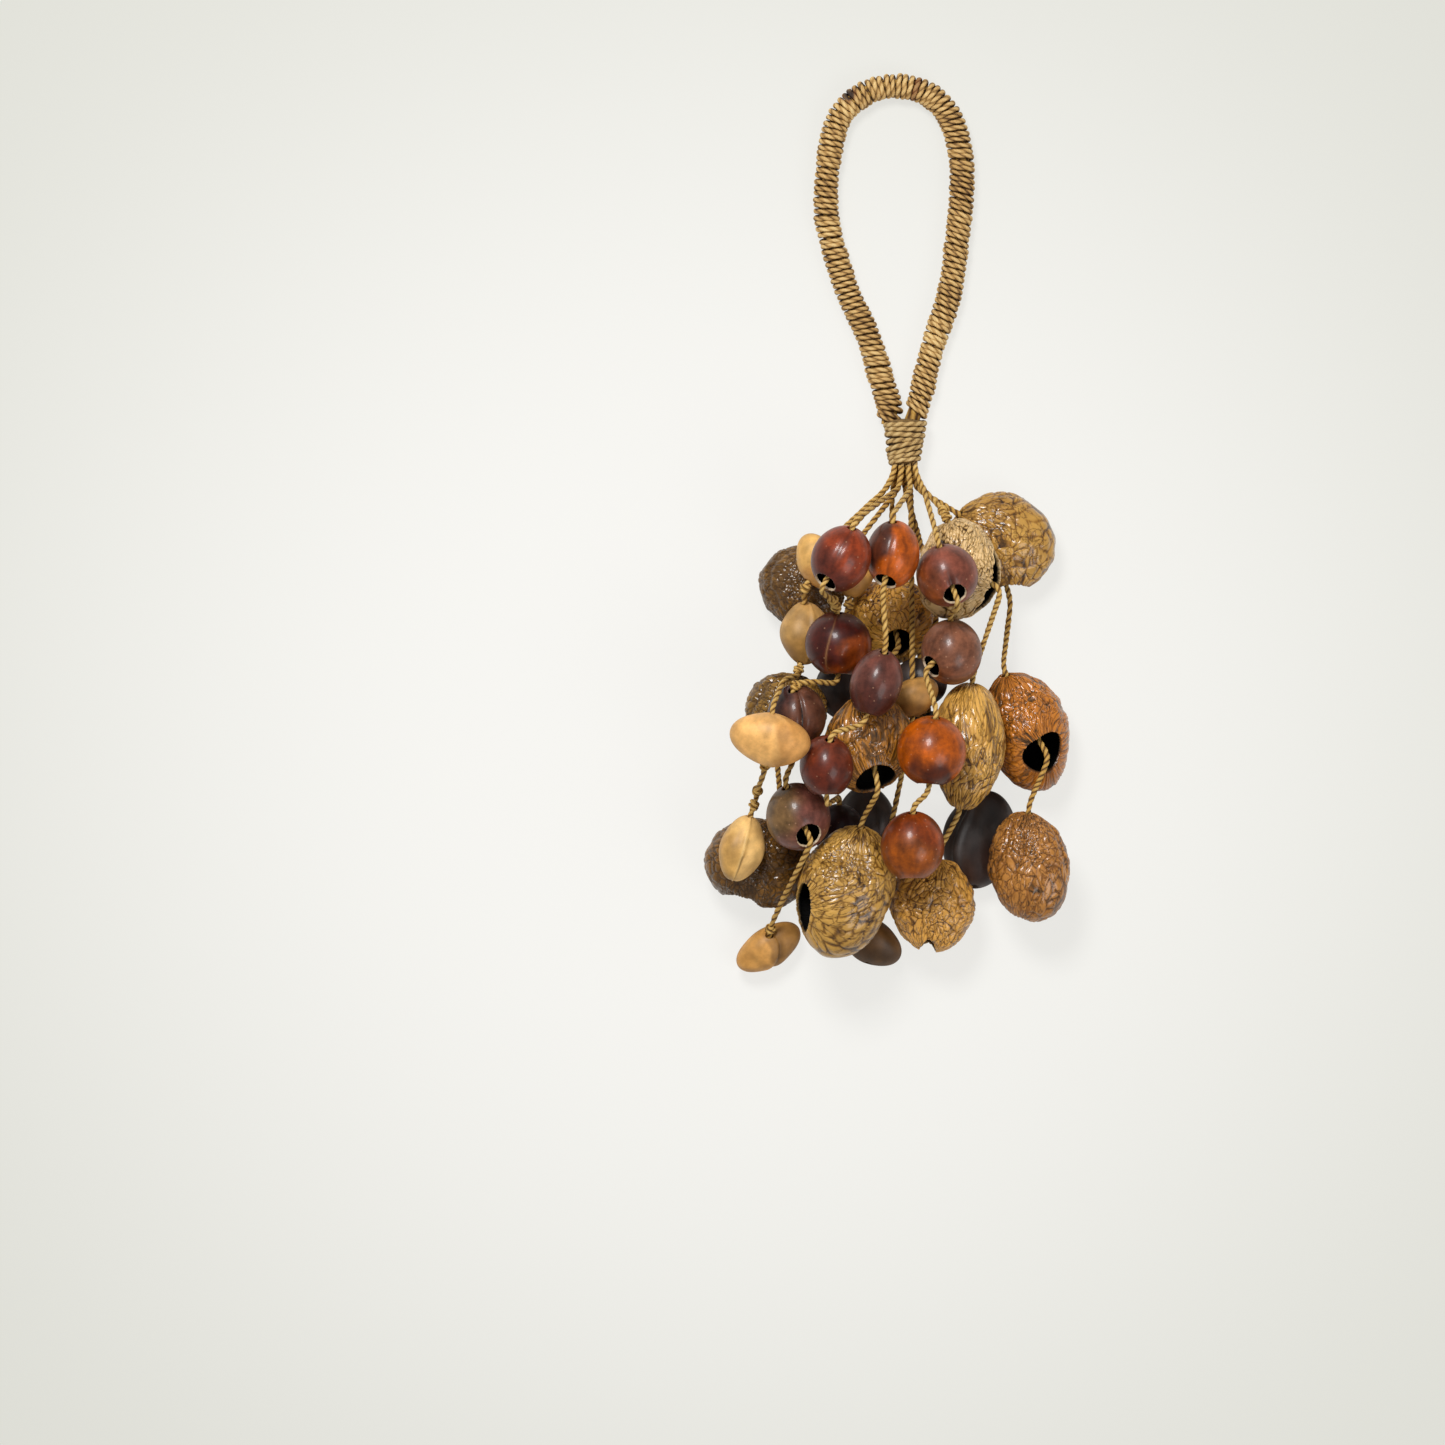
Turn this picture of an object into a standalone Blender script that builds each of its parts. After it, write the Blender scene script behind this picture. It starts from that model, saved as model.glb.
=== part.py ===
"""A nutshell rattle, lying on its back: a wound hand loop and a bunch of nutshells on knotted cords.

The cords are bundled, wound over to make the loop and bound at the throat. Below it each one runs
in at a shell's small hole, is knotted inside, and goes on out of the shell's mouth to the next.
X runs across the rattle, Y from the shells towards the hand loop, and Z up from the surface below.
"""

from math import cos, pi, radians, sin
from typing import NamedTuple

import bpy
import numpy as np

# Hand loop
GRIP_THICK = 0.0104
CORE_THICK = 0.0060
WRAP_CLEARANCE = 0.0004
BARE_CORE = 0.0042
LOOP_STEP = 0.0075
LOOP_SIDES = 10
CORE_SIDES = 8
FINE_STEP = 0.0003
LOOP_ROUTE = (
    (0.0026, 0.0416), (0.0023, 0.0432), (0.0001, 0.0468), (-0.0078, 0.0682), (-0.0165, 0.0906),
    (-0.0236, 0.1130), (-0.0258, 0.1270), (-0.0242, 0.1475), (-0.0206, 0.1618), (-0.0126, 0.1700),
    (-0.0025, 0.1744), (0.0084, 0.1738), (0.0174, 0.1700), (0.0246, 0.1612), (0.0278, 0.1490),
    (0.0290, 0.1406), (0.0282, 0.1250), (0.0264, 0.1100), (0.0248, 0.0962), (0.0220, 0.0850),
    (0.0163, 0.0682), (0.0115, 0.0468), (0.0093, 0.0432), (0.0090, 0.0416),
)

# Throat binding
BINDING_TOP = 0.0176
BINDING_FOOT = 0.0126
BINDING_LENGTH = 0.0184
BINDING_TURNS = 10
BINDING_GROOVE = 0.0003
BINDING_SIDES = 14
THROAT_X = 0.0058
FACE_GAP = 0.0003

# Hanging cords
CORD_THICK = 0.0023
CORD_PITCH = 0.0027
CORD_ROWS = (4, 4, 3)
CORD_FAN = 1.8
CORD_STEP = 0.0069
CORD_GAP = 0.0005
KNOT_THICK = 0.0046
KNOT_LENGTH = 0.0044
TAIL = 0.0030
KNOT_SHARES = (0.12, 0.45, 0.78, 1.0)
RUN_IN = 0.0028
END_IN_BORE = 0.5

# Shells and nuts
HOLE_CLEARANCE = 0.0006
CONTACT_GAP = 0.0004
WAVES = 4
WAVE_PACES = (2.2, 4.2)

# The main creases of the wrinkled shells, from hole to mouth; the turns are in degrees
CREASES = 8
CREASE_DEPTH = 0.0009
CREASE_HALF = 7
CREASE_WANDER = 9
CREASE_COLUMNS = (-1, 0, 1)

# How finely and how far out the resting heights and the ways between the shells are worked out
PILE_MARGIN = 0.03
GROUND_CELL = 0.0006
ROUTE_CELL = 0.0018
SKIN_SAMPLES = (150, 300)
CURVE_SAMPLES = 40
ROUNDING_ROUNDS = 12
EASING_ROUNDS = 220
PULL = 0.35
PUSH = 0.7
PUSH_LIMIT = 0.002
PUSH_ROOM = 1.25
PROBES = (0.0, 0.33, 0.67)


class Kind(NamedTuple):
    """What all nuts of one sort share; `around` is 0 where the skin's columns follow its creases."""

    name: str
    colour: tuple
    roughness: float
    wall: float
    around: int
    rows: int
    inner_rows: int
    tip: float
    ridges: int
    ridge: float
    wave: float


WRINKLED = Kind("wrinkled_shell", (0.30, 0.17, 0.04), 0.35, 0.0022, 0, 9, 4, 0.0, 0, 0.0, 0.05)
RED = Kind("red_shell", (0.19, 0.04, 0.03), 0.30, 0.0015, 10, 8, 4, 0.0, 4, 0.02, 0.012)
TAN = Kind("tan_nut", (0.74, 0.47, 0.20), 0.50, 0.0, 10, 8, 0, 0.22, 3, 0.06, 0.02)
BLACK = Kind("black_nut", (0.016, 0.013, 0.012), 0.40, 0.0, 10, 8, 0, 0.10, 2, 0.07, 0.03)


class Nut(NamedTuple):
    """One shell or nut: its place, its width, length and depth, and which way its openings look.

    Turns are degrees clockwise from the hand loop, and lifts are degrees up from the surface.
    """

    kind: Kind
    number: int
    x: float
    y: float
    size: tuple
    turn: float
    taper: float
    hole: tuple
    mouth: tuple
    mouth_radius: float = 0.0

    @property
    def name(self):
        """The nut's name, from its sort and its number."""
        return f"{self.kind.name}_{self.number:02d}"


# The nuts from the lowest in the pile to the uppermost
NUTS = (
    Nut(WRINKLED, 1, 0.0442, -0.0088, (0.043, 0.043, 0.024), 0, 0.0, (-55, 10), (170, -5), 0.008),
    Nut(WRINKLED, 2, -0.0348, -0.0250, (0.034, 0.034, 0.022), 0, 0.0, (40, 5), (185, 5), 0.007),
    Nut(WRINKLED, 3, -0.0532, -0.1364, (0.043, 0.036, 0.025), 10, 0.0, (30, 10), (200, 0), 0.008),
    Nut(WRINKLED, 4, 0.0530, -0.0766, (0.031, 0.050, 0.026), -20, -0.24, (-24, 8), (150, 34), 0.0076),
    Nut(WRINKLED, 8, 0.0003, -0.0398, (0.036, 0.034, 0.024), 0, 0.0, (0, 0), (162, 46), 0.0054),
    Nut(TAN, 1, -0.0075, -0.1670, (0.018, 0.027, 0.016), 121, 0.0, (10, 5), (190, 5)),
    Nut(BLACK, 1, -0.0100, -0.1190, (0.022, 0.028, 0.016), 0, 0.0, (0, 5), (180, 5)),
    Nut(BLACK, 2, 0.0363, -0.1248, (0.028, 0.040, 0.018), 12, -0.08, (-4, 5), (188, 5)),
    Nut(TAN, 2, -0.0495, -0.1700, (0.016, 0.029, 0.015), 58, 0.05, (13, 50), (193, -40)),
    Nut(BLACK, 3, -0.0195, -0.0665, (0.020, 0.025, 0.016), 0, 0.0, (0, 5), (180, 5)),
    Nut(BLACK, 4, 0.0115, -0.0640, (0.021, 0.020, 0.016), 0, 0.0, (0, 5), (180, 5)),
    Nut(BLACK, 5, 0.0155, -0.0865, (0.020, 0.022, 0.015), 0, 0.0, (0, 5), (180, 5)),
    Nut(WRINKLED, 5, -0.0420, -0.0755, (0.034, 0.032, 0.020), 0, 0.0, (20, 5), (190, 0), 0.0068),
    Nut(WRINKLED, 6, 0.0168, -0.1514, (0.034, 0.038, 0.025), 4, -0.05, (6, 10), (186, 2), 0.0058),
    Nut(TAN, 3, -0.0145, -0.0200, (0.015, 0.022, 0.014), 10, 0.0, (10, 5), (190, 5)),
    Nut(TAN, 4, -0.0282, -0.0160, (0.017, 0.025, 0.015), 150, 0.0, (30, 5), (210, 5)),
    Nut(WRINKLED, 7, 0.0268, -0.0202, (0.033, 0.041, 0.024), 8, 0.0, (-12, 0), (112, 14), 0.0090),
    Nut(WRINKLED, 9, 0.0542, -0.1326, (0.031, 0.043, 0.024), -6, -0.20, (2, 5), (185, -10), 0.0065),
    Nut(TAN, 5, 0.0085, -0.0700, (0.015, 0.022, 0.014), 60, 0.0, (0, 5), (180, 5)),
    Nut(WRINKLED, 10, 0.0302, -0.0952, (0.028, 0.050, 0.024), 4, 0.20, (4, -2), (188, -10), 0.0050),
    Nut(RED, 1, -0.0205, -0.1235, (0.020, 0.022, 0.018), 0, 0.0, (0, 5), (180, -5), 0.0044),
    Nut(TAN, 6, -0.0342, -0.0444, (0.021, 0.025, 0.017), 0, 0.0, (0, 10), (190, 5)),
    Nut(WRINKLED, 11, -0.0090, -0.0878, (0.035, 0.042, 0.025), 10, -0.06, (-10, 0), (168, 22), 0.0085),
    Nut(WRINKLED, 12, -0.0168, -0.1405, (0.036, 0.055, 0.026), 14, -0.22, (14, 5), (238, 14), 0.0070),
    Nut(TAN, 7, -0.0596, -0.1302, (0.018, 0.027, 0.017), 16, 0.0, (16, 5), (196, 0)),
    Nut(RED, 2, 0.0220, -0.0216, (0.024, 0.025, 0.022), -15, 0.0, (-15, 15), (158, 42), 0.0046),
    Nut(RED, 3, -0.0376, -0.0774, (0.023, 0.025, 0.021), 0, 0.0, (-9, 30), (180, -5), 0.0046),
    Nut(RED, 10, -0.0370, -0.1174, (0.025, 0.027, 0.022), -20, 0.0, (-22, 18), (150, 42), 0.0052),
    Nut(RED, 7, 0.0240, -0.0521, (0.024, 0.026, 0.021), 0, 0.0, (-2, 10), (236, 25), 0.0044),
    Nut(RED, 5, -0.0210, -0.0489, (0.026, 0.026, 0.022), 0, 0.0, (0, 12), (180, 0), 0.0048),
    Nut(RED, 4, -0.0062, -0.0646, (0.020, 0.028, 0.019), 18, 0.0, (15, 15), (196, 0), 0.0044),
    Nut(RED, 6, -0.0258, -0.0974, (0.021, 0.025, 0.020), 0, 0.0, (7, 25), (180, 0), 0.0046),
    Nut(TAN, 8, -0.0480, -0.0862, (0.021, 0.033, 0.018), 100, 0.0, (4, 10), (192, -30)),
    Nut(RED, 8, 0.0158, -0.0915, (0.027, 0.028, 0.023), 7, 0.0, (7, 12), (184, 0), 0.0048),
    Nut(RED, 9, 0.0084, -0.1291, (0.025, 0.028, 0.022), 0, 0.0, (0, 12), (180, 0), 0.0048),
    Nut(RED, 11, 0.0004, -0.0134, (0.021, 0.027, 0.019), 6, 0.0, (0, 10), (196, 18), 0.0044),
    Nut(RED, 12, -0.0202, -0.0153, (0.023, 0.027, 0.020), 26, 0.0, (20, 12), (214, 18), 0.0046),
)

# The nuts on each cord, from the throat down; the cords leave it in rows, uppermost first, left to right
STRANDS = (
    ("tan_nut_04", "tan_nut_06", "tan_nut_08", "tan_nut_07"),
    ("red_shell_12", "red_shell_05", "red_shell_03", "red_shell_10", "tan_nut_02"),
    ("red_shell_11", "red_shell_04", "red_shell_06", "red_shell_01"),
    ("red_shell_02", "red_shell_07", "red_shell_08", "red_shell_09"),
    ("wrinkled_shell_02", "wrinkled_shell_05", "wrinkled_shell_03"),
    ("tan_nut_03", "black_nut_03", "black_nut_01"),
    ("tan_nut_05", "tan_nut_01"),
    ("wrinkled_shell_07", "wrinkled_shell_10", "wrinkled_shell_06"),
    ("wrinkled_shell_08", "wrinkled_shell_11", "wrinkled_shell_12"),
    ("black_nut_04", "black_nut_05", "black_nut_02"),
    ("wrinkled_shell_01", "wrinkled_shell_04", "wrinkled_shell_09"),
)


def clear_scene():
    """Remove every object that the file opened with."""
    for thing in list(bpy.data.objects):
        bpy.data.objects.remove(thing, do_unlink=True)


def finish(name, colour, roughness):
    """Plain material of one colour."""
    material = bpy.data.materials.new(name)
    material.use_nodes = True
    shader = material.node_tree.nodes["Principled BSDF"]
    shader.inputs["Base Color"].default_value = (*colour, 1.0)
    shader.inputs["Roughness"].default_value = roughness
    return material


def skin(name, rings, looped, material):
    """Closed mesh over rings of points: the last ring meets the first, or both ends get a flat cap."""
    rows, around = rings.shape[:2]
    index = np.arange(rows * around).reshape(rows, around)
    lower = index if looped else index[:-1]
    upper = np.roll(index, -1, axis=0)[: len(lower)]
    faces = np.stack([lower, np.roll(lower, -1, 1), np.roll(upper, -1, 1), upper], axis=-1)
    faces = faces.reshape(-1, 4).tolist()
    if not looped:
        faces += [index[0, ::-1].tolist(), index[-1].tolist()]
    mesh = bpy.data.meshes.new(name)
    mesh.from_pydata(rings.reshape(-1, 3).tolist(), [], faces)
    if volume_of(mesh) < 0:
        mesh.flip_normals()
    mesh.shade_smooth()
    mesh.set_sharp_from_angle(angle=radians(50))
    mesh.materials.append(material)
    thing = bpy.data.objects.new(name, mesh)
    bpy.context.scene.collection.objects.link(thing)
    return thing


def volume_of(mesh):
    """Signed volume inside a closed mesh, positive where its faces point out."""
    mesh.calc_loop_triangles()
    return sum(
        mesh.vertices[a].co.dot(mesh.vertices[b].co.cross(mesh.vertices[c].co))
        for a, b, c in (triangle.vertices for triangle in mesh.loop_triangles)
    ) / 6


def unit(vectors):
    """Vectors scaled to length 1."""
    vectors = np.asarray(vectors, float)
    return vectors / np.linalg.norm(vectors, axis=-1, keepdims=True)


def toward(turn, lift):
    """Unit vector that many degrees clockwise from the hand loop and up from the surface."""
    turn, lift = radians(turn), radians(lift)
    return np.array([sin(turn) * cos(lift), cos(turn) * cos(lift), sin(lift)])


def smooth_route(route, step):
    """Points about `step` apart on the smooth curve through a route's own points."""
    route = np.asarray(route, float)
    before = np.vstack([2 * route[0] - route[1], route])[: len(route) - 1]
    after = np.vstack([route, 2 * route[-1] - route[-2]])[2:]
    start, end = route[:-1], route[1:]
    share = np.linspace(0, 1, CURVE_SAMPLES, endpoint=False)[:, None, None]
    curve = start + share * (end - before) / 2 + share**2 * (before - 2.5 * start + 2 * end - after / 2)
    curve = curve + share**3 * (1.5 * (start - end) + (after - before) / 2)
    curve = np.vstack([curve.transpose(1, 0, 2).reshape(-1, route.shape[1]), route[-1:]])
    return even(curve, step)


def even(line, step):
    """A line again, with points evenly about `step` apart."""
    along = np.concatenate([[0], np.cumsum(np.linalg.norm(np.diff(line, axis=0), axis=1))])
    at = np.linspace(0, along[-1], max(2, round(along[-1] / step) + 1))
    return np.stack([np.interp(at, along, line[:, k]) for k in range(line.shape[1])], axis=1)


def rings_along(line, radius, around, bare=0.0):
    """Circles of points square to a flat line, from `bare` past its start to `bare` before its end."""
    way = unit(np.gradient(line, axis=0))
    side = unit(np.cross(way, [0, 0, 1]))
    skipped = round(bare / FINE_STEP)
    count = round((len(line) - 2 * skipped) * FINE_STEP / LOOP_STEP)
    at = np.linspace(skipped, len(line) - 1 - skipped, count).astype(int)
    turn = np.linspace(0, 2 * pi, around, endpoint=False)[None, :, None]
    return line[at, None] + radius * (np.cos(turn) * side[at, None] + np.sin(turn) * np.array([0, 0, 1]))


def hand_loop():
    """The bundle of cords bent into a teardrop, and the winding that covers it but for its two ends."""
    height = GRIP_THICK / 2
    route = np.hstack([np.array(LOOP_ROUTE), np.full((len(LOOP_ROUTE), 1), height)])
    line = smooth_route(route, FINE_STEP)
    core = rings_along(line, CORE_THICK / 2, CORE_SIDES)
    skin("grip_core", core, False, finish("bundle", (0.42, 0.27, 0.11), 0.85))
    outside = rings_along(line, GRIP_THICK / 2, LOOP_SIDES, BARE_CORE)
    inside = rings_along(line, CORE_THICK / 2 + WRAP_CLEARANCE, LOOP_SIDES, BARE_CORE)
    skin("grip_wrap", np.vstack([outside, inside[::-1]]), True, finish("winding", (0.47, 0.30, 0.12), 0.8))


def binding_foot():
    """How far along Y the binding ends and the hanging cords begin."""
    return LOOP_ROUTE[0][1] - FACE_GAP - BINDING_LENGTH


def throat_binding():
    """Turns of cord pulled tight round the bundle, narrower towards the shells."""
    share = np.linspace(0, 1, 2 * BINDING_TURNS + 1)
    radius = (BINDING_TOP + (BINDING_FOOT - BINDING_TOP) * share) / 2
    radius = radius - BINDING_GROOVE * (np.arange(len(share)) % 2 == 0)
    turn = np.linspace(0, 2 * pi, BINDING_SIDES, endpoint=False)
    across = THROAT_X + np.outer(radius, np.cos(turn))
    along = binding_foot() + np.outer(BINDING_LENGTH * (1 - share), np.ones(BINDING_SIDES))
    up = BINDING_TOP / 2 + np.outer(radius, np.sin(turn))
    rings = np.stack([across, along, up], axis=-1)
    skin("throat_binding", rings, False, finish("binding", (0.47, 0.29, 0.11), 0.8))


class Form(NamedTuple):
    """The numbers that give the skin of one nut or, stacked, of several."""

    axes: np.ndarray
    size: np.ndarray
    tip: np.ndarray
    taper: np.ndarray
    ridges: np.ndarray
    ridge: np.ndarray
    wave: np.ndarray
    wave_ways: np.ndarray
    paces: np.ndarray
    starts: np.ndarray


def form_of(nut):
    """A nut's form; its own axes are columns: across it, away from the eye, and along it towards the loop."""
    turn = radians(nut.turn)
    axes = np.array([[cos(turn), 0, sin(turn)], [-sin(turn), 0, cos(turn)], [0, -1, 0]])
    width, length, depth = nut.size
    size = np.array([width, depth, length / (1 + nut.kind.tip)])
    chance = np.random.default_rng([other.name for other in NUTS].index(nut.name))
    wave_ways = unit(chance.normal(size=(WAVES, 3)))
    swells = wave_ways, chance.uniform(*WAVE_PACES, WAVES), chance.uniform(0, 2 * pi, WAVES)
    kind = nut.kind
    return Form(axes, size, kind.tip, nut.taper, kind.ridges, kind.ridge, kind.wave, *swells)


def reach(form, ways):
    """Distance from a nut's middle to its skin along unit vectors.

    It is an oval's, drawn out at its tips, tapered along it, ridged round it and swelled by slow waves.
    """
    own = np.einsum("...i,...ij->...j", ways, form.axes)
    along = own[..., 2]
    oval = 1 / np.linalg.norm(2 * own / form.size, axis=-1)
    around = np.arctan2(own[..., 1], own[..., 0])
    outline = (1 + form.tip * along**6) * (1 + form.taper * along)
    outline = outline * (1 + form.ridge * np.cos(form.ridges * around) * (1 - along**2))
    swell = np.cos(np.einsum("...i,...wi->...w", own, form.wave_ways) * form.paces + form.starts)
    return oval * outline * (1 + 2 * form.wave * swell.mean(axis=-1))


def hole_radius():
    """Radius of the hole that a cord runs through."""
    return CORD_THICK / 2 + HOLE_CLEARANCE


def ends_of(nut):
    """Unit vectors from a nut's middle to its hole and to its mouth, and half the angle each takes."""
    hole, mouth = toward(*nut.hole), toward(*nut.mouth)
    inner = reach(form_of(nut), hole) - nut.kind.wall
    hole_angle = np.arctan(hole_radius() / inner)
    within = reach(form_of(nut), mouth) - nut.kind.wall
    mouth_angle = np.arctan((nut.mouth_radius or hole_radius()) / within)
    return hole, mouth, hole_angle, mouth_angle


def columns(nut, share):
    """Turn of each column of a skin at shares of its way to the mouth, and how deep it lies in a crease.

    A crease has a column at its bottom and one at each edge, and wanders to and fro on its way. Its
    depth rises from nothing at the hole and falls to nothing at the mouth.
    """
    if nut.kind.around:
        turn = np.linspace(0, 2 * pi, nut.kind.around, endpoint=False) + 0 * share
        return turn, 0 * turn
    starts, depths = np.random.default_rng(nut.number).uniform(0, 1, (2, CREASES))
    middle = np.linspace(0, 2 * pi, CREASES, endpoint=False)
    bottom = middle + radians(CREASE_WANDER) * np.sin(2 * pi * (share + starts))
    aside = np.array(CREASE_COLUMNS)
    turn = bottom[..., None] + radians(CREASE_HALF) * aside
    deep = CREASE_DEPTH * (1 + depths) / 2 * np.sin(pi * share)
    return turn.reshape(len(share), -1), (deep[..., None] * (aside == 0)).reshape(len(share), -1)


def ring_ways(nut, rows):
    """Unit vectors in rings from the hole's edge to the mouth's, and how deep in a crease each point lies.

    The rings' axis swings from the hole's to the mouth's.
    """
    hole, mouth, hole_angle, mouth_angle = ends_of(nut)
    share = np.linspace(0, 1, rows)[:, None]
    swing = share**2 * (3 - 2 * share)
    axis = unit(hole * (1 - swing) - mouth * swing)
    aside = np.cross(hole, -mouth)
    if np.linalg.norm(aside) < 0.01:
        aside = np.cross(hole, [0, 0, 1])
    aside = unit(aside)
    ahead = np.cross(aside, axis)
    angle = (hole_angle + share * (pi - mouth_angle - hole_angle))[:, :, None]
    turn, depth = columns(nut, share)
    flat = np.cos(turn)[..., None] * ahead[:, None] + np.sin(turn)[..., None] * aside
    return np.cos(angle) * axis[:, None] + np.sin(angle) * flat, depth


def nut_rings(nut):
    """Rings over the skin from hole to mouth, then back inside the wall; a whole nut has a straight bore."""
    ways, depth = ring_ways(nut, nut.kind.rows)
    outside = ways * (reach(form_of(nut), ways) - depth)[..., None]
    if not nut.kind.inner_rows:
        return outside
    ways, _ = ring_ways(nut, nut.kind.inner_rows)
    inside = ways * (reach(form_of(nut), ways) - nut.kind.wall)[..., None]
    return np.vstack([outside, inside[::-1]])


def footprint(nut, columns, rows, corner):
    """The lowest and highest point of a nut over each cell of the ground, about its middle's height."""
    tilts = np.linspace(0, pi, SKIN_SAMPLES[0] + 2)[1:-1]
    tilt, turn = np.meshgrid(tilts, np.linspace(0, 2 * pi, SKIN_SAMPLES[1], endpoint=False))
    ways = np.stack([np.sin(tilt) * np.cos(turn), np.sin(tilt) * np.sin(turn), np.cos(tilt)], axis=-1)
    ways = ways.reshape(-1, 3)
    points = ways * reach(form_of(nut), ways)[:, None]
    cell = ((points[:, :2] + [nut.x, nut.y] - corner) / GROUND_CELL).astype(int)
    low, high = np.full((columns, rows), np.inf), np.full((columns, rows), -np.inf)
    np.minimum.at(low, tuple(cell.T), points[:, 2])
    np.maximum.at(high, tuple(cell.T), points[:, 2])
    return low, high


def widened(heights):
    """Each cell's greatest height among itself and its neighbours."""
    for axis in (0, 1):
        heights = np.maximum(heights, np.maximum(np.roll(heights, 1, axis), np.roll(heights, -1, axis)))
    return heights


def resting_middles():
    """Middle of each nut by name, lowered in turn until it touches the surface or the nuts below it."""
    places = np.array([[nut.x, nut.y] for nut in NUTS])
    corner = places.min(axis=0) - PILE_MARGIN
    columns, rows = ((places.max(axis=0) + PILE_MARGIN - corner) / GROUND_CELL).astype(int) + 1
    ground, middles = np.zeros((columns, rows)), {}
    for nut in NUTS:
        low, high = footprint(nut, columns, rows, corner)
        floor = -low[np.isfinite(low)].min()
        height = max(floor, float((ground - low + CONTACT_GAP).max()))
        middles[nut.name] = np.array([nut.x, nut.y, height])
        ground = np.maximum(ground, widened(high + height))
    return middles


def room(points, forms, middles):
    """How far each point lies outside each nut's skin, and the way out from that nut's middle."""
    offset = points[..., None, :] - middles
    far = np.maximum(np.linalg.norm(offset, axis=-1), 1e-6)
    ways = offset / far[..., None]
    return far - reach(forms, ways), ways


def bore_line(nut, middle, last):
    """A cord's points and thicknesses through one nut: in at the hole, past its knot, and out at the mouth.

    In a shell the knot sits under the hole. A whole nut's knot is just past its bore, but the last nut
    of a cord has it above the bore, and the cord ends inside.
    """
    hole, mouth, _, _ = ends_of(nut)
    thin, thick = CORD_THICK / 2, KNOT_THICK / 2
    skin_at = middle + hole * reach(form_of(nut), hole)
    out_at = middle + mouth * reach(form_of(nut), mouth)
    enter = skin_at + hole * RUN_IN
    if not nut.kind.inner_rows:
        way = unit(out_at - skin_at)
        if last:
            knot = [skin_at - way * (FACE_GAP + at * KNOT_LENGTH) for at in reversed(KNOT_SHARES)]
            end = skin_at + END_IN_BORE * (out_at - skin_at)
            return [knot[0] - way * RUN_IN, *knot, end], [thin, thin, thick, thick, thin, thin]
        knot = [out_at + way * (FACE_GAP + at * KNOT_LENGTH) for at in KNOT_SHARES]
        return [enter, skin_at, out_at, *knot], [thin, thin, thin, thin, thick, thick, thin]
    under = skin_at - hole * (nut.kind.wall + FACE_GAP)
    knot = [under - hole * at * KNOT_LENGTH for at in KNOT_SHARES]
    points, radii = [enter, *knot], [thin, thin, thick, thick, thin]
    if last:
        return [*points, knot[-1] - hole * TAIL], [*radii, thin]
    leave = out_at + mouth * RUN_IN
    share = np.array([0.5, 1.0])[:, None]
    bend = (1 - share) ** 2 * knot[-1] + 2 * share * (1 - share) * middle + share**2 * leave
    return [*points, *bend], [*radii, thin, thin]


class Space(NamedTuple):
    """The room round the pile in cells: its low corner, and how far each cell's middle is from anything."""

    corner: np.ndarray
    clear: np.ndarray

    def middles(self, box):
        """Middle points of the cells in a box of cells."""
        counts = [np.arange(side.start, side.stop) for side in box]
        return self.corner + ROUTE_CELL * np.stack(np.meshgrid(*counts, indexing="ij"), axis=-1)

    def box_round(self, low, high):
        """The cells between two corners."""
        first = np.clip(((low - self.corner) / ROUTE_CELL).astype(int), 0, None)
        last = np.minimum(((high - self.corner) / ROUTE_CELL).astype(int) + 2, self.clear.shape)
        return tuple(slice(a, b) for a, b in zip(first, last, strict=True))

    def keep_off(self, point, distance_to, size):
        """Lower the room of the cells near a point by their distance to what lies there."""
        box = self.box_round(point - size, point + size)
        self.clear[box] = np.minimum(self.clear[box], distance_to(self.middles(box)))


def space_round(middles):
    """Cells all round the nuts, from the surface up, that know how far they are from each nut."""
    places = np.array(list(middles.values()))
    corner = np.append(places.min(axis=0)[:2] - PILE_MARGIN, 0.0)
    top = np.maximum(places.max(axis=0) + PILE_MARGIN, [0, binding_foot() + PILE_MARGIN / 2, 0])
    shape = ((top - corner) / ROUTE_CELL).astype(int)
    space = Space(corner, np.full(shape, PILE_MARGIN))
    for nut in NUTS:
        form, middle = form_of(nut), middles[nut.name]
        size = max(nut.size) * 0.7 + 2 * CORD_THICK
        space.keep_off(middle, lambda cells: room(cells, form, middle[None])[0][..., 0], size)
    space.clear[..., : int(CORD_THICK / 2 / ROUTE_CELL) + 1] = 0
    return space


def way_between(start, end, space):
    """Free cells from start to end, found by spreading out from the end and walking back down the count."""
    box = space.box_round(np.minimum(start, end) - PILE_MARGIN, np.maximum(start, end) + PILE_MARGIN)
    cells = space.middles(box)
    free = space.clear[box] > CORD_THICK / 2 + CORD_GAP
    for axis in range(3):
        free[tuple(slice(None) if k != axis else [0, -1] for k in range(3))] = False
    first, goal = (nearest_free(cells, free, point) for point in (start, end))
    steps = np.full(free.shape, -1)
    front = np.zeros(free.shape, bool)
    front[goal] = True
    count = 0
    while front.any() and steps[first] < 0:
        steps[front] = count
        grown = np.zeros(free.shape, bool)
        for axis in range(3):
            grown |= np.roll(front, 1, axis) | np.roll(front, -1, axis)
        front = grown & free & (steps < 0)
        count += 1
    walk, here = [cells[first]], first
    ways = np.vstack([np.eye(3, dtype=int), -np.eye(3, dtype=int)])
    while steps[here] > 0:
        beside = [tuple(np.add(here, way)) for way in ways]
        here = min((cell for cell in beside if steps[cell] >= 0), key=lambda cell: steps[cell])
        walk.append(cells[here])
    return np.array(walk)


def nearest_free(cells, free, point):
    """Index of the free cell nearest to a point."""
    distance = np.where(free, np.linalg.norm(cells - point, axis=-1), np.inf)
    return tuple(int(k) for k in np.unravel_index(int(distance.argmin()), free.shape))


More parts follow.
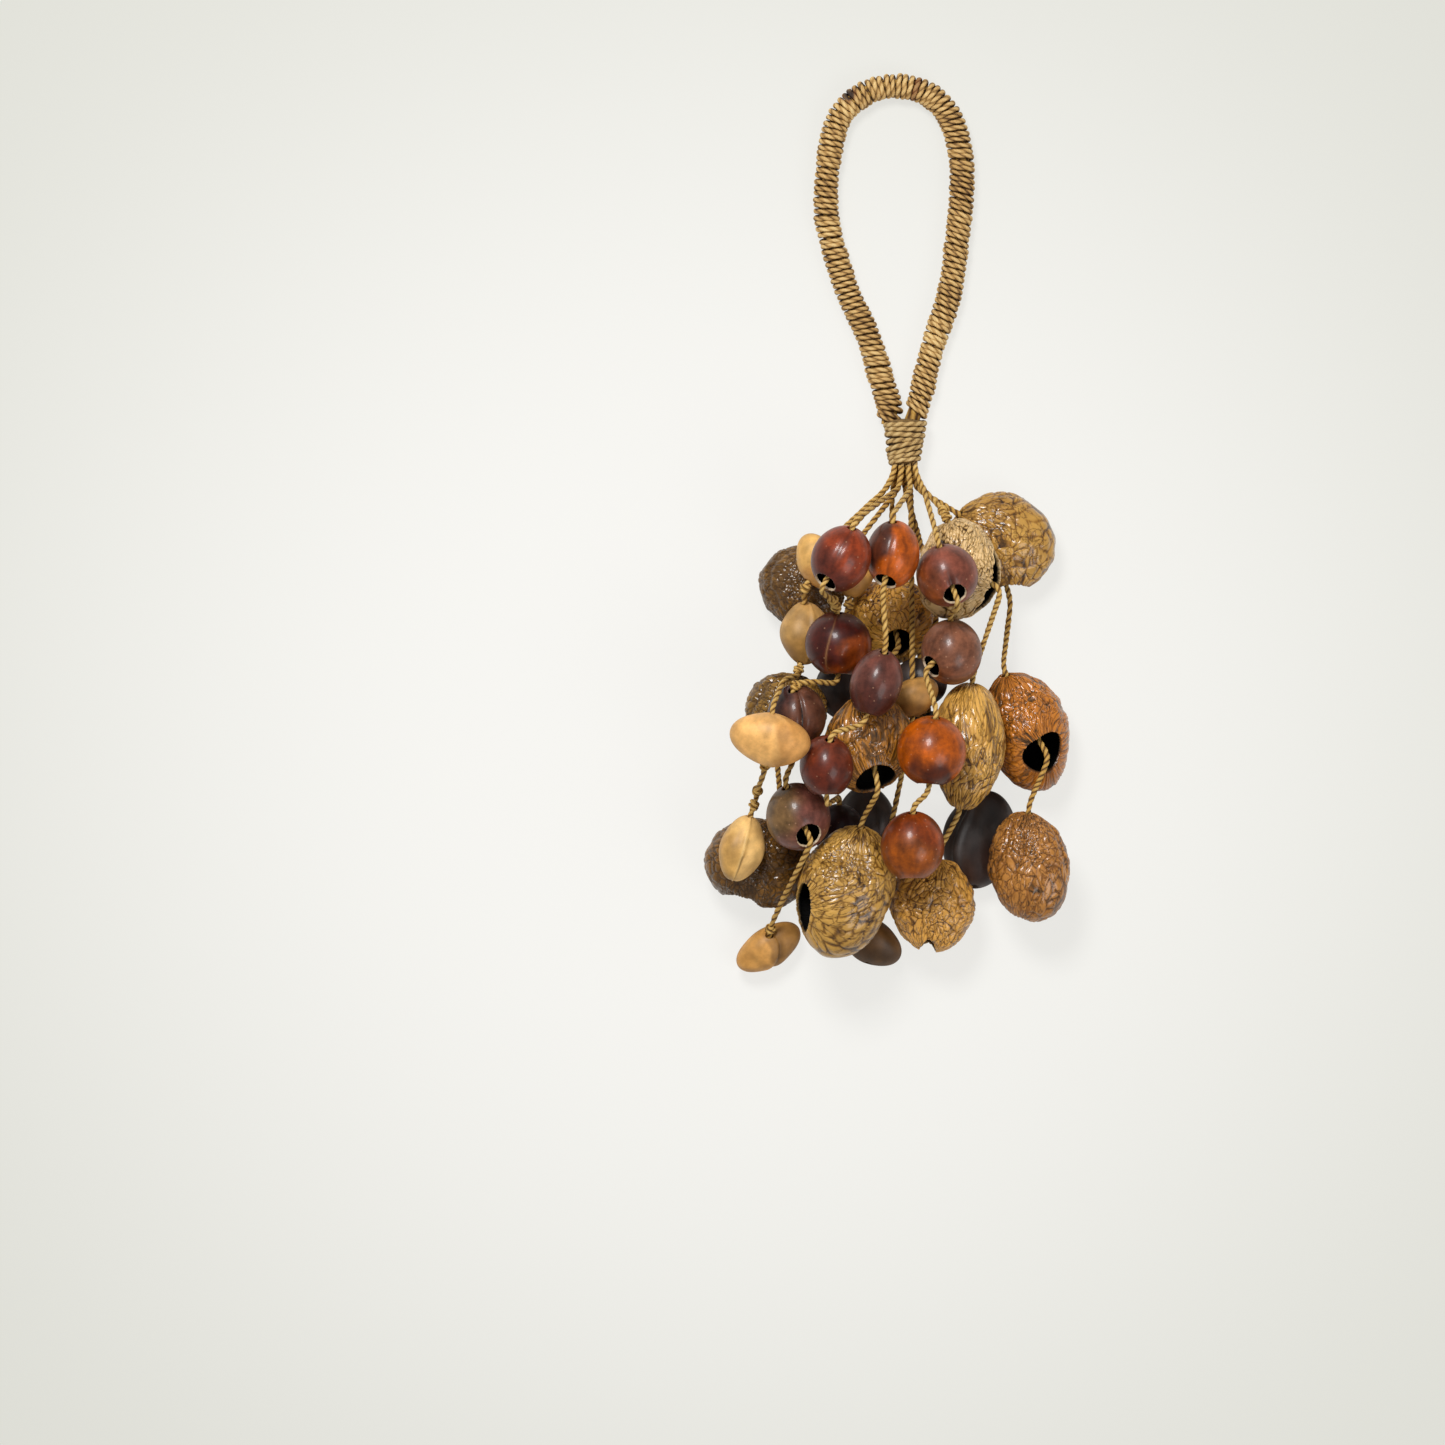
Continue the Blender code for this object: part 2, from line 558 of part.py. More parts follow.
def rounded(walk):
    """A walk from cell to cell with its steps evened out, its two ends as they were."""
    for _ in range(ROUNDING_ROUNDS):
        walk[1:-1] = (walk[:-2] + walk[1:-1] + walk[2:]) / 3
    return walk


def eased(points, held, forms, middles, laid):
    """Pull a cord's free points into line, and clear of the nuts, the surface and the cords laid before."""
    points = points.copy()
    need = CORD_THICK / 2 + CORD_GAP
    free = np.flatnonzero(~held)
    pick = np.arange(len(free))
    for _ in range(EASING_ROUNDS):
        points[free] += PULL * ((points[free - 1] + points[free + 1]) / 2 - points[free])
        for share in PROBES:
            probe = points[free] * (1 - share) + points[free + 1] * share
            gaps, ways = room(probe, forms, middles)
            nearest = gaps.argmin(axis=1)
            push = np.clip(need * PUSH_ROOM - gaps[pick, nearest], 0, PUSH_LIMIT)
            points[free] += ways[pick, nearest] * push[:, None] * PUSH
            if len(laid):
                apart = probe[:, None] - laid[:, :3]
                far = np.linalg.norm(apart, axis=-1)
                gaps = far - laid[:, 3]
                nearest = gaps.argmin(axis=1)
                push = np.clip(need - gaps[pick, nearest], 0, PUSH_LIMIT)
                points[free] += unit(apart[pick, nearest] + 1e-9) * push[:, None] * PUSH
        points[free, 2] = np.maximum(points[free, 2], need)
    return points


def cord_start(number):
    """The first points of a cord below the binding: straight out of it, then fanning out from the bundle."""
    row = 0
    while number >= CORD_ROWS[row]:
        number -= CORD_ROWS[row]
        row += 1
    across = (number - (CORD_ROWS[row] - 1) / 2) * CORD_PITCH
    middle = np.array([THROAT_X, binding_foot() - FACE_GAP, BINDING_TOP / 2])
    aside = np.array([across, 0, (1 - row) * CORD_PITCH])
    straight = middle + aside - [0, CORD_THICK, 0]
    fanned = middle + aside * CORD_FAN - [0, CORD_THICK + CORD_STEP, 0]
    return [middle + aside, straight, fanned]


def strand_line(number, middles, space, laid):
    """A cord's points and thicknesses from the binding through its nuts."""
    nuts = {nut.name: nut for nut in NUTS}
    points = cord_start(number)
    radii, held = [CORD_THICK / 2] * 3, [True] * 3
    for place, name in enumerate(STRANDS[number]):
        through, thickness = bore_line(nuts[name], middles[name], place == len(STRANDS[number]) - 1)
        walk = rounded(np.vstack([points[-1], way_between(points[-1], through[0], space), through[0]]))
        walk = even(walk, CORD_STEP)[1:-1]
        points += [*walk, *through]
        radii += [CORD_THICK / 2] * len(walk) + thickness
        held += [False] * len(walk) + [True] * len(through)
    forms = Form(*(np.stack(values) for values in zip(*map(form_of, NUTS), strict=True)))
    places = np.array([middles[nut.name] for nut in NUTS])
    return eased(np.array(points), np.array(held), forms, places, laid), radii


def strand(number, points, radii, material):
    """One hanging cord as a tube with a bulge at each knot."""
    name = f"strand_{number + 1:02d}"
    curve = bpy.data.curves.new(name, "CURVE")
    curve.dimensions = "3D"
    curve.bevel_depth = 1.0
    curve.bevel_resolution = 2
    curve.use_fill_caps = True
    spline = curve.splines.new("POLY")
    spline.points.add(len(points) - 1)
    spline.points.foreach_set("co", np.hstack([points, np.ones((len(points), 1))]).ravel())
    spline.points.foreach_set("radius", radii)
    curve.materials.append(material)
    thing = bpy.data.objects.new(name, curve)
    bpy.context.scene.collection.objects.link(thing)
    return thing


def rest_on_origin():
    """Move every piece so that the origin is under the middle of the handle and nuts, at their lowest."""
    meshes = [thing.data for thing in bpy.data.objects if thing.type == "MESH"]
    corners = np.array([corner.co for mesh in meshes for corner in mesh.vertices])
    low, high = corners.min(axis=0), corners.max(axis=0)
    base = np.append((low + high)[:2] / 2, low[2])
    for thing in bpy.data.objects:
        thing.location = -base


def build():
    """Make the handle, lay the nuts down, and string the cords through them."""
    clear_scene()
    hand_loop()
    throat_binding()
    middles = resting_middles()
    for nut in NUTS:
        material = finish(nut.name, nut.kind.colour, nut.kind.roughness)
        skin(nut.name, nut_rings(nut) + middles[nut.name], True, material)
    space, laid = space_round(middles), np.zeros((0, 4))
    for number in range(len(STRANDS)):
        points, radii = strand_line(number, middles, space, laid)
        strand(number, points, radii, finish(f"cord_{number + 1:02d}", (0.48, 0.30, 0.12), 0.8))
        beads = even(np.column_stack([points, radii]), CORD_THICK / 2)
        for bead in beads:
            here, radius = bead[:3], bead[3]
            space.keep_off(here, lambda cells: np.linalg.norm(cells - here, axis=-1) - radius, 2 * KNOT_THICK)
        laid = np.vstack([laid, beads])
    rest_on_origin()


build()
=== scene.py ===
"""The looks of a nutshell rattle: a hand loop wound with twine, and nutshells and seeds knotted on cords.

It lies on a pale table as if hung up and laid down: X across it, Y from the shells towards the loop,
and Z up from the table. Every size is in metres.
"""

from math import cos, pi, radians, sin, tau

import bpy
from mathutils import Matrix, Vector
import numpy as np


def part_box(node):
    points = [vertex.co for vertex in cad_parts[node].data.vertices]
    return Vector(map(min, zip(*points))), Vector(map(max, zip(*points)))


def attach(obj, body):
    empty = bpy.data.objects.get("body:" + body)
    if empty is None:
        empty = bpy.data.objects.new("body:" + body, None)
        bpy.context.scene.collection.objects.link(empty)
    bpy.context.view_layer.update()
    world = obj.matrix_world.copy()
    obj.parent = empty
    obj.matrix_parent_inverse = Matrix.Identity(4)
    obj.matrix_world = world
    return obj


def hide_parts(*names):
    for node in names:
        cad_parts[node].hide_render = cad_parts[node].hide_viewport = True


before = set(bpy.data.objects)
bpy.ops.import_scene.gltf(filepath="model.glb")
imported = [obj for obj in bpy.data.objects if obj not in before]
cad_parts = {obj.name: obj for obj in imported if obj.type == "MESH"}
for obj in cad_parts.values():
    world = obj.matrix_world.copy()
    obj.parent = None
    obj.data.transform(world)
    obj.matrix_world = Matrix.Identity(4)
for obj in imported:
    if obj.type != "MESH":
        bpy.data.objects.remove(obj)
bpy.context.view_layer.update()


# Camera
# The camera looks straight down from far above, so that the photograph's frame, 1445 pixels of 0.4 mm,
# covers the same stretch of table and the pile's height hardly shifts it.
PIXEL = 0.0004
PHOTO_PIXELS = 1445
CAMERA_HEIGHT = 6.0
VIEW_MIDDLE = (-0.0656, -0.0803)

camera = bpy.data.objects.new("camera", bpy.data.cameras.new("camera"))
bpy.context.scene.collection.objects.link(camera)
camera.location = (*VIEW_MIDDLE, CAMERA_HEIGHT)
camera.data.lens = camera.data.sensor_width * CAMERA_HEIGHT / (PHOTO_PIXELS * PIXEL)
camera.data.clip_end = 4 * CAMERA_HEIGHT
bpy.context.scene.camera = camera
bpy.context.scene.view_settings.view_transform = "Standard"


# Cords
# Eleven cords of two-ply palm twine hang out of the binding, knotted at each nut that they run through.
# They lie where the frame's plain tubes lie, with sharp bends rounded, and their twist opens where they
# rise, so that it shows from above as in the photograph.
CORD_THICK = 0.0023
CORD_TWIST = 0.0056
KNOT_THICK = 0.0046
KNOT_HALF = 0.0015
KNOT_TURNS = 2.0
KNOT_CORD = 0.00090
CORD_STEP = 0.00045
CORD_SIDES = 14
PLY_DIP = 0.33
TWIST_SEED = 70
FIBRE_DRAW = 260.0
END_SLACK = 0.00002
RING_GAP = 0.0006
BEND_PACE = 0.0024
STEEPEST_TWIST = 0.3


def colour(code, alpha=1.0):
    """Linear colour from a code such as #A98450: each part is ((value + 0.055) / 1.055) to the power 2.4."""
    values = np.array([int(code[k : k + 2], 16) / 255 for k in (1, 3, 5)])
    linear = np.where(values > 0.04045, ((values + 0.055) / 1.055) ** 2.4, values / 12.92)
    return (*(float(value) for value in linear), alpha)


def add(tree, kind, inputs=None, **settings):
    """A new node, with its settings, and its inputs set to a value or linked to another node's output."""
    node = tree.nodes.new(kind)
    for key, value in settings.items():
        setattr(node, key, value)
    for key, value in (inputs or {}).items():
        if isinstance(value, bpy.types.NodeSocket):
            tree.links.new(value, node.inputs[key])
        else:
            node.inputs[key].default_value = value
    return node


def ramp(tree, factor, *stops):
    """Colour that runs through stops, each a place from 0 to 1 and a colour code."""
    node = add(tree, "ShaderNodeValToRGB", {"Fac": factor})
    while len(node.color_ramp.elements) < len(stops):
        node.color_ramp.elements.new(1.0)
    for element, (place, code) in zip(node.color_ramp.elements, stops, strict=True):
        element.position = place
        element.color = colour(code)
    return node.outputs["Color"]


def mix(tree, factor, first, second, blend="MIX"):
    """Colour between two colours."""
    node = add(tree, "ShaderNodeMix", data_type="RGBA", blend_type=blend)
    for place, value in ((0, factor), (6, first), (7, second)):
        if isinstance(value, bpy.types.NodeSocket):
            tree.links.new(value, node.inputs[place])
        else:
            node.inputs[place].default_value = value
    return node.outputs[2]


def arithmetic(tree, operation, first, second=0.0, third=0.0):
    """A number worked out from up to three others."""
    return add(tree, "ShaderNodeMath", {0: first, 1: second, 2: third}, operation=operation).outputs[0]


def painted(tree, name, output="Fac"):
    """What a mesh attribute says at each point."""
    return add(tree, "ShaderNodeAttribute", attribute_name=name).outputs[output]


def object_place(tree):
    """Each point's place in the rattle's own frame."""
    return add(tree, "ShaderNodeTexCoord").outputs["Object"]


def noise(tree, place, scale, detail, **more):
    """Cloudy noise from 0 to 1."""
    inputs = {"Vector": place, "Scale": scale, "Detail": detail, **more}
    return add(tree, "ShaderNodeTexNoise", inputs).outputs["Fac"]


def ranged(tree, value, **ends):
    """A value mapped from one range to another, and kept within it: from_min=0.2 sets From Min, and so on."""
    ends = {key.replace("_", " ").title(): end for key, end in ends.items()}
    return add(tree, "ShaderNodeMapRange", {"Value": value, **ends}).outputs["Result"]


def bumped(tree, shader, height, distance, strength):
    """A relief too fine for the mesh."""
    bump = add(tree, "ShaderNodeBump", {"Height": height, "Distance": distance, "Strength": strength})
    tree.links.new(bump.outputs["Normal"], shader.inputs["Normal"])


def new_effect(name, takes, gives):
    """A node group for an effect that several materials use: the group, its inputs' sockets and its outputs'."""
    group = bpy.data.node_groups.new(name, "ShaderNodeTree")
    for way, sockets in (("INPUT", takes), ("OUTPUT", gives)):
        for socket, kind in sockets.items():
            group.interface.new_socket(socket, in_out=way, socket_type=f"NodeSocket{kind}")
    return group, group.nodes.new("NodeGroupInput").outputs, group.nodes.new("NodeGroupOutput").inputs


def effect(tree, group, **values):
    """What a shared effect gives in one material, for its own values: groove=... sets the input Groove."""
    inputs = {key.title(): value for key, value in values.items()}
    return add(tree, "ShaderNodeGroup", inputs, node_tree=group).outputs


def new_finish(name):
    """A new material: its node tree and its Principled shader."""
    material = bpy.data.materials.new(name)
    material.use_nodes = True
    return material, material.node_tree, material.node_tree.nodes["Principled BSDF"]


def unit(vectors):
    """Vectors scaled to length 1."""
    return vectors / np.linalg.norm(vectors, axis=-1, keepdims=True)


def lengths_along(line):
    """Distance of each point of a line from its start, along it."""
    return np.concatenate([[0.0], np.cumsum(np.linalg.norm(np.diff(line, axis=0), axis=1))])


def tube_of(node, is_start):
    """Middles and radii of the rings of a frame tube, in order.

    Ring 0 is the corners that is_start picks, and ring n + 1 is what the edges of ring n newly reach.
    Medians keep a stray corner from pulling a ring's middle off, and of rings closer than RING_GAP one is kept.
    """
    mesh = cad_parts[node].data
    places = np.empty(len(mesh.vertices) * 3, np.float32)
    mesh.vertices.foreach_get("co", places)
    corners, which = np.unique(places.reshape(-1, 3), axis=0, return_inverse=True)
    used = np.empty(len(mesh.loops), np.int32)
    mesh.loops.foreach_get("vertex_index", used)
    triangles = which.ravel()[used].reshape(-1, 3)
    edges = np.vstack([triangles[:, pair] for pair in ([0, 1], [1, 2], [2, 0], [1, 0], [2, 1], [0, 2])])
    ring = np.where(is_start(corners), 0, -1)
    count = 0
    while (ring < 0).any():
        reached = edges[(ring[edges[:, 0]] == count) & (ring[edges[:, 1]] < 0), 1]
        count += 1
        ring[reached] = count
    rings = [corners[ring == level] for level in range(count + 1)]
    middles = np.array([np.median(some, axis=0) for some in rings])
    radii = np.array([np.median(np.linalg.norm(some - middle, axis=1)) for some, middle in zip(rings, middles)])
    keep = np.append(True, np.linalg.norm(np.diff(middles, axis=0), axis=1) > RING_GAP)
    return middles[keep], radii[keep]


def sampled(at, along, *tracks):
    """Tracks of points read at distances along a line."""
    return [np.stack([np.interp(at, along, track[:, k]) for k in range(3)], axis=1) for track in tracks]


def smoothed(route, step):
    """Points a step apart on the Catmull-Rom curve near a route, and each one's place in the route.

    The route is first read at even paces, and its bends are rounded: each point = (before + 2 own + after) / 4.
    """
    whole = lengths_along(route)
    paces = np.linspace(0, whole[-1], round(whole[-1] / BEND_PACE) + 1)
    own_place = np.interp(paces, whole, np.arange(len(route)))
    route = sampled(paces, whole, route)[0]
    for _ in range(2):
        route[1:-1] = (route[:-2] + 2 * route[1:-1] + route[2:]) / 4
    before = np.vstack([2 * route[0] - route[1], route[:-2]])
    after = np.vstack([route[2:], 2 * route[-1] - route[-2]])
    start, end = route[:-1], route[1:]
    share = np.linspace(0, 1, 24, endpoint=False)[:, None, None]
    curve = start + share * (end - before) / 2 + share**2 * (before - 2.5 * start + 2 * end - after / 2)
    curve = curve + share**3 * (1.5 * (start - end) + (after - before) / 2)
    curve = np.vstack([curve.transpose(1, 0, 2).reshape(-1, 3), route[-1:]])
    place = np.linspace(0, len(route) - 1, len(curve))
    along = lengths_along(curve)
    at = np.linspace(0, along[-1], round(along[-1] / step) + 1)
    line = np.stack([np.interp(at, along, curve[:, k]) for k in range(3)], axis=1)
    return line, np.interp(np.interp(at, along, place), np.arange(len(route)), own_place)


def carried(line):
    """Two unit vectors square to a line at each point, carried along it without turning about it."""
    way = unit(np.gradient(line, axis=0))
    side = np.empty_like(line)
    side[0] = unit(np.cross(way[0], [0.3, 0.1, 1.0]))
    for k in range(1, len(line)):
        side[k] = unit(side[k - 1] - way[k] * side[k - 1].dot(way[k]))
    return side, np.cross(way, side)


def chance_line(at, seed, pace, size):
    """Smooth chance value along a line: evenly spread random knots, pace apart, joined by half cosines."""
    knots = np.random.default_rng(seed).normal(size=int(at.max() / pace) + 3) * size
    place = at / pace
    low = place.astype(int)
    share = (1 - np.cos(pi * (place - low))) / 2
    return knots[low] * (1 - share) + knots[low + 1] * share


def two_ply(line, first, second, half_first, half_second, sides, twist):
    """Rings round a line of twine, with the depth of the groove between its plies and a place for its fibres.

    Radius = half size x (1 - dip x (1 - |cos(angle - twist)|) ^ 1.4): two round strands turning about
    each other. The fibres' place is (cos, sin) of that angle and the length along, drawn out.
    """
    angle = np.linspace(0, tau, sides, endpoint=False)[None, :]
    ply = angle - twist[:, None]
    groove = (1 - np.abs(np.cos(ply))) ** 1.4
    reach = (1 - PLY_DIP * groove)[..., None]
    across = np.cos(angle)[..., None] * first[:, None] * np.reshape(half_first, (-1, 1, 1))
    up = np.sin(angle)[..., None] * second[:, None] * np.reshape(half_second, (-1, 1, 1))
    drawn = np.broadcast_to(lengths_along(line)[:, None] * FIBRE_DRAW, groove.shape)
    return line[:, None] + reach * (across + up), groove, np.stack([np.cos(ply), np.sin(ply), drawn], axis=-1)


def surface(name, *skins):
    """One piece over grids of points whose rows are rings; each skin says if its last ring meets its first.

    Where it doesn't, a flat face closes each end. The faces point out, by the sign of the volume inside.
    """
    loops, starts, places, used, filled = [], [], [], 0, 0
    for rings, looped in skins:
        rows, around = rings.shape[:2]
        index = np.arange(rows * around).reshape(rows, around)
        lower = index if looped else index[:-1]
        upper = np.roll(index, -1, axis=0)[: len(lower)]
        quads = np.stack([lower, np.roll(lower, -1, 1), np.roll(upper, -1, 1), upper], axis=-1).reshape(-1, 4)
        a, b, c, d = (rings.reshape(-1, 3)[quads[:, k]] for k in range(4))
        order = 1 if np.einsum("ij,ij->", a, np.cross(b, c) + np.cross(c, d)) > 0 else -1
        loops.append(quads[:, ::order].ravel() + used)
        starts.append(filled + 4 * np.arange(len(quads)))
        filled += quads.size
        if not looped:
            loops += [index[0, ::-1][::order] + used, index[-1][::order] + used]
            starts.append(np.array([filled, filled + around]))
            filled += 2 * around
        places.append(rings.reshape(-1, 3))
        used += rows * around
    mesh = bpy.data.meshes.new(name)
    mesh.vertices.add(used)
    mesh.vertices.foreach_set("co", np.vstack(places).astype(np.float32).ravel())
    mesh.loops.add(filled)
    mesh.loops.foreach_set("vertex_index", np.concatenate(loops).astype(np.int32))
    mesh.polygons.add(sum(len(start) for start in starts))
    mesh.polygons.foreach_set("loop_start", np.concatenate(starts).astype(np.int32))
    mesh.update(calc_edges=True)
    mesh.shade_smooth()
    piece = bpy.data.objects.new(name, mesh)
    bpy.context.scene.collection.objects.link(piece)
    return piece


def paint(piece, **values):
    """Attributes on a piece's points: a number, a place or a colour each."""
    for name, value in values.items():
        value = np.asarray(value, np.float32)
        wide = 1 if value.size == len(piece.data.vertices) else value.shape[-1]
        kind, key = {1: ("FLOAT", "value"), 3: ("FLOAT_VECTOR", "vector"), 4: ("FLOAT_COLOR", "color")}[wide]
        piece.data.attributes.new(name, kind, "POINT").data.foreach_set(key, value.ravel())


def fibre_effect():
    """Dry palm fibre: streaks drawn out along the plies, painted shade in the grooves between them, and
    red-brown to black stains.

    Tone = 0.75 streaks + 0.45 patches + shade - 0.75 groove (painted shade), which runs from dark over
    middle to light.
    """
    takes = {"Fibre": "Vector", "Place": "Vector", "Shade": "Float", "Groove": "Float", "Stain": "Float"}
    takes.update(Light="Color", Middle="Color", Dark="Color")
    tree, given, gives = new_effect("palm_fibre", takes, {"Colour": "Color", "Height": "Float"})
    streaks_drawn = noise(tree, given["Fibre"], 3.2, 4.0)
    patches = noise(tree, given["Place"], 95.0, 3.0)
    tone = arithmetic(tree, "MULTIPLY_ADD", streaks_drawn, 0.75, given["Shade"])
    tone = arithmetic(tree, "MULTIPLY_ADD", patches, 0.45, tone)
    # Painted shade: the grooves between plies, and between wound turns, are darkened.
    tone = arithmetic(tree, "MULTIPLY_ADD", given["Groove"], -0.75, tone)
    body = mix(tree, ranged(tree, tone, from_min=0.02, from_max=0.42), given["Dark"], given["Middle"])
    body = mix(tree, ranged(tree, tone, from_min=0.42, from_max=0.80), body, given["Light"])
    dye = ramp(tree, given["Stain"], (0.55, "#6A2A12"), (0.8, "#1E0F18"))
    tree.links.new(mix(tree, given["Stain"], body, dye), gives["Colour"])
    tree.links.new(streaks_drawn, gives["Height"])
    return tree


palm_fibre = fibre_effect()


def twine_finish(name, light, middle, dark):
    """Twine of dry palm fibre, in three tones of its own."""
    material, tree, shader = new_finish(name)
    marks = {key: painted(tree, key) for key in ("shade", "groove", "stain")}
    tones = {"light": colour(light), "middle": colour(middle), "dark": colour(dark)}
    fibre = painted(tree, "fibre", "Vector")
    given = effect(tree, palm_fibre, fibre=fibre, place=object_place(tree), **marks, **tones)
    tree.links.new(given["Colour"], shader.inputs["Base Color"])
    shader.inputs["Roughness"].default_value = 0.72
    shader.inputs["Specular IOR Level"].default_value = 0.35
    bumped(tree, shader, given["Height"], 0.00025, 0.8)
    return material


def belongs(piece, finish, solid):
    """A piece's finish, body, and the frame's solid that it stands for."""
    piece.data.materials.append(finish)
    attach(piece, "root")
    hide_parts(solid)


def twisted(name, parts, shade, stain=0.0):
    """One piece of twines from their rings, grooves and fibre places, toned and stained."""
    piece = surface(name, *((rings, False) for rings, _, _ in parts))
    count = len(piece.data.vertices)
    paint(piece, groove=np.concatenate([groove.ravel() for _, groove, _ in parts]))
    paint(piece, fibre=np.vstack([fibre.reshape(-1, 3) for _, _, fibre in parts]))
    paint(piece, shade=np.broadcast_to(shade, count), stain=np.broadcast_to(stain, count))
    return piece


def knot_coil(line, side, lift, centre, start):
    """The turns of a knot: they lie round the cord and dive into it at both ends.

    Distance from the cord's middle = (half a knot's thickness - half a turn's) x (1 - share^8).
    """
    share = np.linspace(-1, 1, 56)
    at = centre + KNOT_HALF * share
    middle, across, up = sampled(at, lengths_along(line), line, side, lift)
    far = (KNOT_THICK / 2 - KNOT_CORD) * (1 - share**8)
    angle = start + tau * KNOT_TURNS * share / 2
    coil = middle + far[:, None] * (np.cos(angle)[:, None] * across + np.sin(angle)[:, None] * up)
    first, second = carried(coil)
    return two_ply(coil, first, second, KNOT_CORD, KNOT_CORD, 10, tau * lengths_along(coil) / CORD_TWIST)


cord_finish = twine_finish("palm_cord", "#E6C47C", "#BE9040", "#54361A")
cord_tops = []
CORD_SHADES = (0.0, -0.02, 0.02, 0.06, -0.16, -0.10, -0.06, 0.02, -0.04, -0.2, -0.08)
for number, shade in enumerate(CORD_SHADES, start=1):
    solid = f"strand_{number:02d}"
    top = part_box(solid)[1].y - END_SLACK
    middles, radii = tube_of(solid, lambda corners: corners[:, 1] > top)
    line, place = smoothed(middles, CORD_STEP)
    along = lengths_along(line)
    fat = np.interp(np.flatnonzero(radii > KNOT_THICK / 3), place, along)
    knots = [group.mean() for group in np.split(fat, np.flatnonzero(np.diff(fat) > KNOT_THICK) + 1) if len(group)]
    level = np.linalg.norm(unit(np.gradient(line, axis=0))[:, :2], axis=1)
    pace = CORD_STEP / CORD_TWIST * (1 + chance_line(along, TWIST_SEED + number, 0.006, 0.14))
    pace = pace * np.clip(level, STEEPEST_TWIST, 1)
    radius = CORD_THICK / 2 * (1 + chance_line(along, TWIST_SEED - number, 0.004, 0.05))
    side, lift = carried(line)
    parts = [two_ply(line, side, lift, radius, radius, CORD_SIDES, tau * np.cumsum(pace) + number)]
    parts += [knot_coil(line, side, lift, centre, number + k) for k, centre in enumerate(knots)]
    cord_tops.append(line[0])
    piece = twisted(f"cord_{number:02d}", parts, shade)
    belongs(piece, cord_finish, solid)


# Hand loop
# A bundle of the same cords is bent into a teardrop and wound over, turn beside turn, with some 130
# turns of two-ply twine. One turn on the crown is dyed, and there is a dark stain to its left.
GRIP_THICK = 0.0104
CORE_THICK = 0.0060
BETWEEN_LEGS_X = 0.0052
LOOP_REACH = 0.0030
BARE_CORE = (0.0014, 0.0052)
WRAP_PITCH = 0.0023
WRAP_HIGH = 0.00112
WRAP_WIDE = 0.00118
WRAP_TWIST = 0.0078
WRAP_SIDES = 12
WRAP_RINGS = 40
WRAP_SEED = 5
UNDERSIDE = 0.75
SHADE_BETWEEN_TURNS = 1.3
CORE_SIDES = 28
CORE_CORDS = 5
CORE_TWIST = 260.0
CORE_DIP = 0.14
STAIN_AT = (-0.0152, 0.1704)
STAIN_WIDE = 0.0030
DYED_TURN_X = 0.0117
DYED_FROM_Y = 0.1500


def loop_frame():
    """The bundle's middle line, carried on into the binding, and the level and upward vectors square to it."""
    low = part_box("grip_core")[0]
    middles, _ = tube_of(
        "grip_core", lambda corners: (corners[:, 1] < low.y + END_SLACK) & (corners[:, 0] < BETWEEN_LEGS_X)
    )
    line, _ = smoothed(middles, CORD_STEP)
    into = np.arange(CORD_STEP, LOOP_REACH, CORD_STEP)[:, None]
    start, end = unit(line[0] - line[4]), unit(line[-1] - line[-5])
    line = np.vstack([line[0] + into[::-1] * start, line, line[-1] + into * end])
    side = unit(np.cross(unit(np.gradient(line, axis=0)), [0.0, 0.0, 1.0]))
    return line, side, np.broadcast_to([0.0, 0.0, 1.0], line.shape)


def bundle():
    """The core: radius = half thickness x (0.86 + 0.14 |cos(cords x angle / 2 - twist)|), its cords turning."""
    line, side, lift = loop_frame()
    angle = np.linspace(0, tau, CORE_SIDES, endpoint=False)[None, :]
    ply = CORE_CORDS * angle / 2 - CORE_TWIST * lengths_along(line)[:, None]
    groove = 1 - np.abs(np.cos(ply))
    radius = (CORE_THICK / 2 * (1 - CORE_DIP * groove))[..., None]
    out = np.cos(angle)[..., None] * side[:, None] + np.sin(angle)[..., None] * lift[:, None]
    rings = line[:, None] + radius * out
    drawn = np.broadcast_to(lengths_along(line)[:, None] * FIBRE_DRAW, groove.shape)
    fibre = np.stack([np.cos(ply), np.sin(ply), drawn], axis=-1)
    piece = twisted("core_bundle", [(rings, groove, fibre)], -0.1)
    belongs(piece, cord_finish, "grip_core")


def between(groove, sides):
    """Painted shade in a wound twine's groove: also dark where it lies against its neighbours, by the angle round
    it.
    """
    angle = np.linspace(0, tau, sides, endpoint=False)
    return np.maximum(0.75 * groove, SHADE_BETWEEN_TURNS * np.sin(angle) ** 6)


def pressed(far, room, out):
    """How far out each point of a winding lies, no farther down than the room that there is above the table."""
    return np.minimum(far, room / np.clip(-out[:, 2], 0.2, 1))


